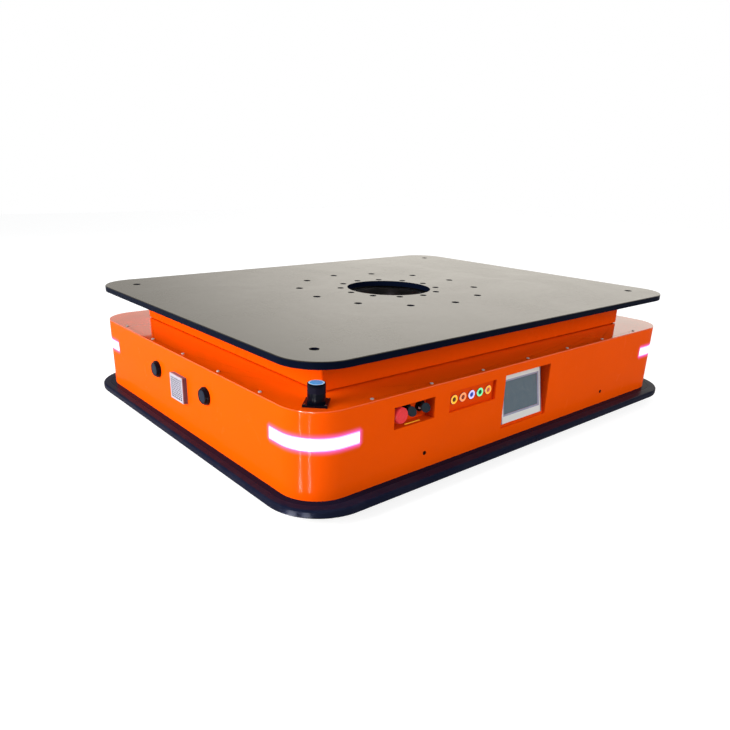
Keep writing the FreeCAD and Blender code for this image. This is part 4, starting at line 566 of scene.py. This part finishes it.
# Housing behind the grille, in the darker grey of painted shade.
sounder.box((front + layer, low.y, low.z), (high.x, high.y, high.z), grey_painted_shade)
# A near-black sheet behind the slots gives them painted shade.
sounder.box((front + layer - 0.0002, low.y + rim, low.z + rim), (front + layer, high.y - rim, high.z - rim),
            slot_painted_shade)
# The four sides of its rim.
for y0, y1, z0, z1 in ((low.y, high.y, low.z, low.z + rim), (low.y, high.y, high.z - rim, high.z),
                       (low.y, low.y + rim, low.z + rim, high.z - rim),
                       (high.y - rim, high.y, low.z + rim, high.z - rim)):
    sounder.box((front, y0, z0), (front + layer, y1, z1), grey)
# Rows of slots with a bar above each and webs between the slots; every other row is shifted.
ROWS, PITCH, WEB, SLOT_SHARE, SET_BACK = 10, 0.0122, 0.0026, 0.56, 0.0006
field_low, field_high = low.z + rim, high.z - rim
row_height = (field_high - field_low) / ROWS
slot_height = row_height * SLOT_SHARE
for row in range(ROWS):
    base = field_low + row * row_height
    sounder.box((front + SET_BACK, low.y + rim, base + slot_height),
                (front + layer, high.y - rim, base + row_height), grey)
    shift = PITCH / 2 if row % 2 else 0.0
    y = low.y + rim - PITCH + shift
    while y < high.y - rim:
        y0, y1 = max(y, low.y + rim), min(y + WEB, high.y - rim)
        if y1 > y0 + 0.0002:
            sounder.box((front + SET_BACK, y0, base), (front + layer, y1, base + slot_height), grey)
        y += PITCH
made = sounder.make("chassis", angle=30.0)
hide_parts("sounder")

# ---------------------------------------------------------------- round sensors
SENSOR_RADIUS, SENSOR_HEIGHT = 0.0235, 0.0125
low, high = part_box("side_sensors")
offset = high.y - SENSOR_RADIUS
level = (low.z + high.z) / 2
wall = low.x + SENSOR_HEIGHT
sensors = Piece("round_sensors")
for side in (-1, 1):
    at = Vector((wall, offset * side, level))
    sensors.lathe([(0.0138, -0.0250), (0.0138, 0.0), (0.0229, 0.0), (0.0235, 0.0008), (0.0235, 0.0058),
                   (0.0229, 0.0068), (0.0218, 0.0071), (0.0207, 0.0071)], black, at, "-x", 72)
    sensors.lathe([(0.0206, 0.0070), (0.0206, 0.0076), (0.0201, 0.0080), (0.0201, 0.0106), (0.0197, 0.0117),
                   (0.0186, 0.0124), (0.0174, 0.0125), (0.0166, 0.0120), (0.0163, 0.0114)],
                  black, at, "-x", 72)
    sensors.lathe([(0.0164, 0.0112), (0.0162, 0.0116), (0.0120, 0.0119), (0.0060, 0.0121), (0.0001, 0.0121)],
                  navy, at, "-x", 72)
made = sensors.make("chassis", angle=30.0)
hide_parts("side_sensors")

# ---------------------------------------------------------------- corner scanners
CAP_RADIUS, FOOT_SCREWS_OUT, FOOT_TOP = 0.020, 0.0315, 0.2620
low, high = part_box("scanner_caps")
scanner_axes = [(low.x + CAP_RADIUS, low.y + CAP_RADIUS), (high.x - CAP_RADIUS, high.y - CAP_RADIUS)]
caps = Piece("scanner_cap_discs")
screws = Piece("scanner_foot_screws")
for x, y in scanner_axes:
    at = Vector((x, y, low.z))
    caps.lathe([(0.0194, 0.0), (0.0200, 0.0004), (0.0200, 0.0058), (0.0195, 0.0067), (0.0184, 0.0070),
                (0.0176, 0.0069)], scanner_body, at, "z", 72)
    # The ring and disc glow: painted light.
    caps.lathe([(0.0176, 0.0060), (0.0174, 0.0069), (0.0150, 0.0070), (0.0138, 0.0068)],
               cap_ring_painted_glow, at, "z", 72)
    caps.lathe([(0.0142, 0.0060), (0.0141, 0.0072), (0.0120, 0.0073), (0.0001, 0.0074)],
               cap_blue_painted_glow, at, "z", 72)
    for k in range(4):
        a = math.pi / 2 * k
        spot = Vector((x + FOOT_SCREWS_OUT * math.cos(a), y + FOOT_SCREWS_OUT * math.sin(a), FOOT_TOP))
        screws.lathe([(0.0026, -0.0004), (0.0026, 0.0006), (0.0021, 0.0013), (0.0010, 0.0016)],
                     zinc, spot, "z", 24)
made = caps.make("chassis", angle=30.0)
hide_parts("scanner_caps")
screws.make("chassis", angle=30.0)

# ---------------------------------------------------------------- painted shade: dark rings round the deck's holes, dark stoppers in the service holes
RINGS = ((0.2930, 0.0080), (0.1595, 0.0070))        # radius of each circle and of its twelve holes
CORNER_X, CORNER_Y, CORNER_RADIUS = 0.655, 0.479, 0.0080
RIM, RIM_TOP = 0.0034, 0.00028
deck_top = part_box("deck_plate")[1].z
# Black rings round the deck's holes make them look darker and wider: painted shade.
shade_rings = Piece("deck_hole_rims")
holes = [(ring * math.cos(math.pi / 6 * k), ring * math.sin(math.pi / 6 * k), radius)
         for ring, radius in RINGS for k in range(12)]
holes += [(CORNER_X * sx, CORNER_Y * sy, CORNER_RADIUS) for sx in (-1, 1) for sy in (-1, 1)]
for x, y, radius in holes:
    shade_rings.ring([(radius, -0.0030), (radius + RIM, -0.0004), (radius + RIM, RIM_TOP),
               (radius + 0.0002, RIM_TOP)], blackened, Vector((x, y, deck_top)), "z", 36)
shade_rings.make("deck", angle=30.0)

PLUGS_X, PLUGS_Z = (-0.398, 0.390), 0.088
# Black stoppers fill the open service holes so they read dark: painted shade.
hole_shade = Piece("service_plugs")
for x in PLUGS_X:
    hole_shade.lathe([(0.0034, -0.0040), (0.0034, 0.0), (0.0052, 0.0002), (0.0050, 0.0010), (0.0030, 0.0014),
                 (0.0001, 0.0015)], blackened, Vector((x, -WALL_Y, PLUGS_Z)), "-y", 32)
hole_shade.make("chassis", angle=30.0)

# ---------------------------------------------------------------- cover screws
HEAD_HEIGHT, INSET = 0.0024, 0.013
PITCH_X, PITCH_Y = 0.1875, 0.192                    # seven screws on each long side, five on each short side
cover_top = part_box("cover_screws")[1].z - HEAD_HEIGHT
places = []
for side in (-1, 1):
    places += [(PITCH_X * (i - 3), (WALL_Y - INSET) * side) for i in range(7)]
    places += [((WALL_X - INSET) * side, PITCH_Y * (i - 2)) for i in range(5)]
# The heads' light grey stands in for their glints: painted highlight.
heads = Piece("cover_screw_heads")
for x, y in places:
    at = Vector((x, y, cover_top))
    heads.lathe([(0.0025, -0.0090), (0.0025, 0.0), (0.0043, 0.0), (0.0045, 0.0005), (0.0042, 0.0013),
                 (0.0034, 0.0020), (0.0024, 0.0024), (0.0017, 0.0024), (0.0015, 0.0011), (0.0003, 0.0010)],
                bright, at, "z", 28)
made = heads.make("chassis", angle=30.0)
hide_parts("cover_screws")

# ---------------------------------------------------------------- floor, light, background
FLOOR_HALF, FLOOR_GAP = 9.0, 0.0005
floor_data = bpy.data.meshes.new("floor")
corners = [(-FLOOR_HALF, -FLOOR_HALF, 0), (FLOOR_HALF, -FLOOR_HALF, 0), (FLOOR_HALF, FLOOR_HALF, 0),
           (-FLOOR_HALF, FLOOR_HALF, 0)]
floor_data.from_pydata(corners, [], [(0, 1, 2, 3)])
floor = bpy.data.objects.new("floor", floor_data)
floor.location.z = -FLOOR_GAP
bpy.context.scene.collection.objects.link(floor)
pale = Shader("pale_floor", (0.4, 0.4, 0.4), 0.6)
pale.bsdf.inputs["Specular IOR Level"].default_value = 0.2
paths = pale.node("LightPath").outputs
seen = pale.math("MAXIMUM", paths["Is Camera Ray"], pale.math("MULTIPLY", paths["Is Glossy Ray"], 0.1))
shine = pale.node("Emission", Color=(1.0, 1.0, 1.0), Strength=pale.math("MULTIPLY", seen, 0.8))
total = pale.node("AddShader")
pale.links.new(pale.bsdf.outputs[0], total.inputs[0])
pale.links.new(shine.outputs[0], total.inputs[1])
pale.links.new(total.outputs[0], pale.output.inputs["Surface"])
floor_data.materials.append(pale.material)

world = bpy.data.worlds.new("studio")
bpy.context.scene.world = world
world.use_nodes = True
tree = world.node_tree
tree.nodes.clear()


def world_node(kind, settings=(), *inputs):
    """Node of the world's tree with its inputs in order; None leaves an input as it is."""
    made = tree.nodes.new("ShaderNode" + kind)
    for key, value in dict(settings).items():
        setattr(made, key, value)
    for socket, value in zip(made.inputs, inputs):
        if isinstance(value, bpy.types.NodeSocket):
            tree.links.new(value, socket)
        elif value is not None:
            socket.default_value = value
    return made


path = world_node("LightPath").outputs
clear = world_node("Math", {"operation": "MAXIMUM"}, path["Is Camera Ray"],
                   path["Is Transmission Ray"]).outputs[0]
# What the surfaces mirror: dim towards -X and -Y, brighter towards +X and +Y.
heading = world_node("SeparateXYZ", (), world_node("TexCoord").outputs["Generated"]).outputs
low_part = world_node("MapRange", (), heading[0], -0.2, 0.35, 0.14, 0.52).outputs[0]
high_part = world_node("MapRange", (), heading[0], 0.35, 0.62, 0.0, 0.5).outputs[0]
across = world_node("MapRange", (), heading[1], -0.3, 0.15, 0.25, 1.0).outputs[0]
along = world_node("Math", {"operation": "ADD"}, low_part, high_part).outputs[0]
gloss = world_node("Math", {"operation": "MULTIPLY"}, along, across).outputs[0]
soft = world_node("Background", (), (0.84, 0.87, 0.92, 1.0), 0.42)
shine = world_node("Background", (), (1.0, 0.95, 0.86, 1.0), gloss)
plain = world_node("Background", (), (1.0, 1.0, 1.0, 1.0), 1.0)
lit_world = world_node("MixShader", (), path["Is Glossy Ray"], soft.outputs[0], shine.outputs[0])
mixer = world_node("MixShader", (), clear, lit_world.outputs[0], plain.outputs[0])
world_node("OutputWorld", (), mixer.outputs[0])


def softbox(name, position, target, width, height, energy, colour=(1.0, 1.0, 1.0), mirrored=False):
    """Area lamp aimed at a point; surfaces mirror it only when asked to."""
    data = bpy.data.lights.new(name, "AREA")
    data.shape, data.size, data.size_y = "RECTANGLE", width, height
    data.energy, data.color = energy, colour
    lamp = bpy.data.objects.new(name, data)
    lamp.location = position
    lamp.visible_glossy = mirrored
    aim = Vector(target) - Vector(position)
    lamp.rotation_euler = aim.to_track_quat("-Z", "Y").to_euler()
    bpy.context.scene.collection.objects.link(lamp)
    return lamp


softbox("key_left", (-3.6, 0.3, 1.5), (0.0, 0.0, 0.15), 2.6, 1.6, 205.0, (1.0, 0.98, 0.95))
softbox("fill_front", (0.8, -4.2, 1.9), (0.0, 0.0, 0.15), 2.6, 1.8, 90.0, (1.0, 0.97, 0.95))
softbox("top_back", (1.2, 2.6, 3.2), (0.0, 0.0, 0.3), 3.0, 2.4, 55.0)
# Two strips on the floor give the rounded corner its upright highlights.
STRIPS = (("glint_left", (-0.78, -0.545), (-1.45, -0.66)), ("glint_front", (-0.765, -0.585), (-1.35, -0.98)))
STRIP_LEVEL, STRIP_WIDTH, STRIP_ENERGY = 0.004, 0.03, 3.0
for name, start, end in STRIPS:
    middle = [(a + b) / 2 for a, b in zip(start, end)]
    strip_lamp = softbox(name, (*middle, STRIP_LEVEL), (*middle, 1.0), math.dist(start, end), STRIP_WIDTH,
                         STRIP_ENERGY, mirrored=True)
    strip_lamp.visible_diffuse = False
    strip_lamp.rotation_euler = (math.pi, 0.0, math.atan2(end[1] - start[1], end[0] - start[0]))

scene = bpy.context.scene
scene.view_settings.view_transform = "Standard"
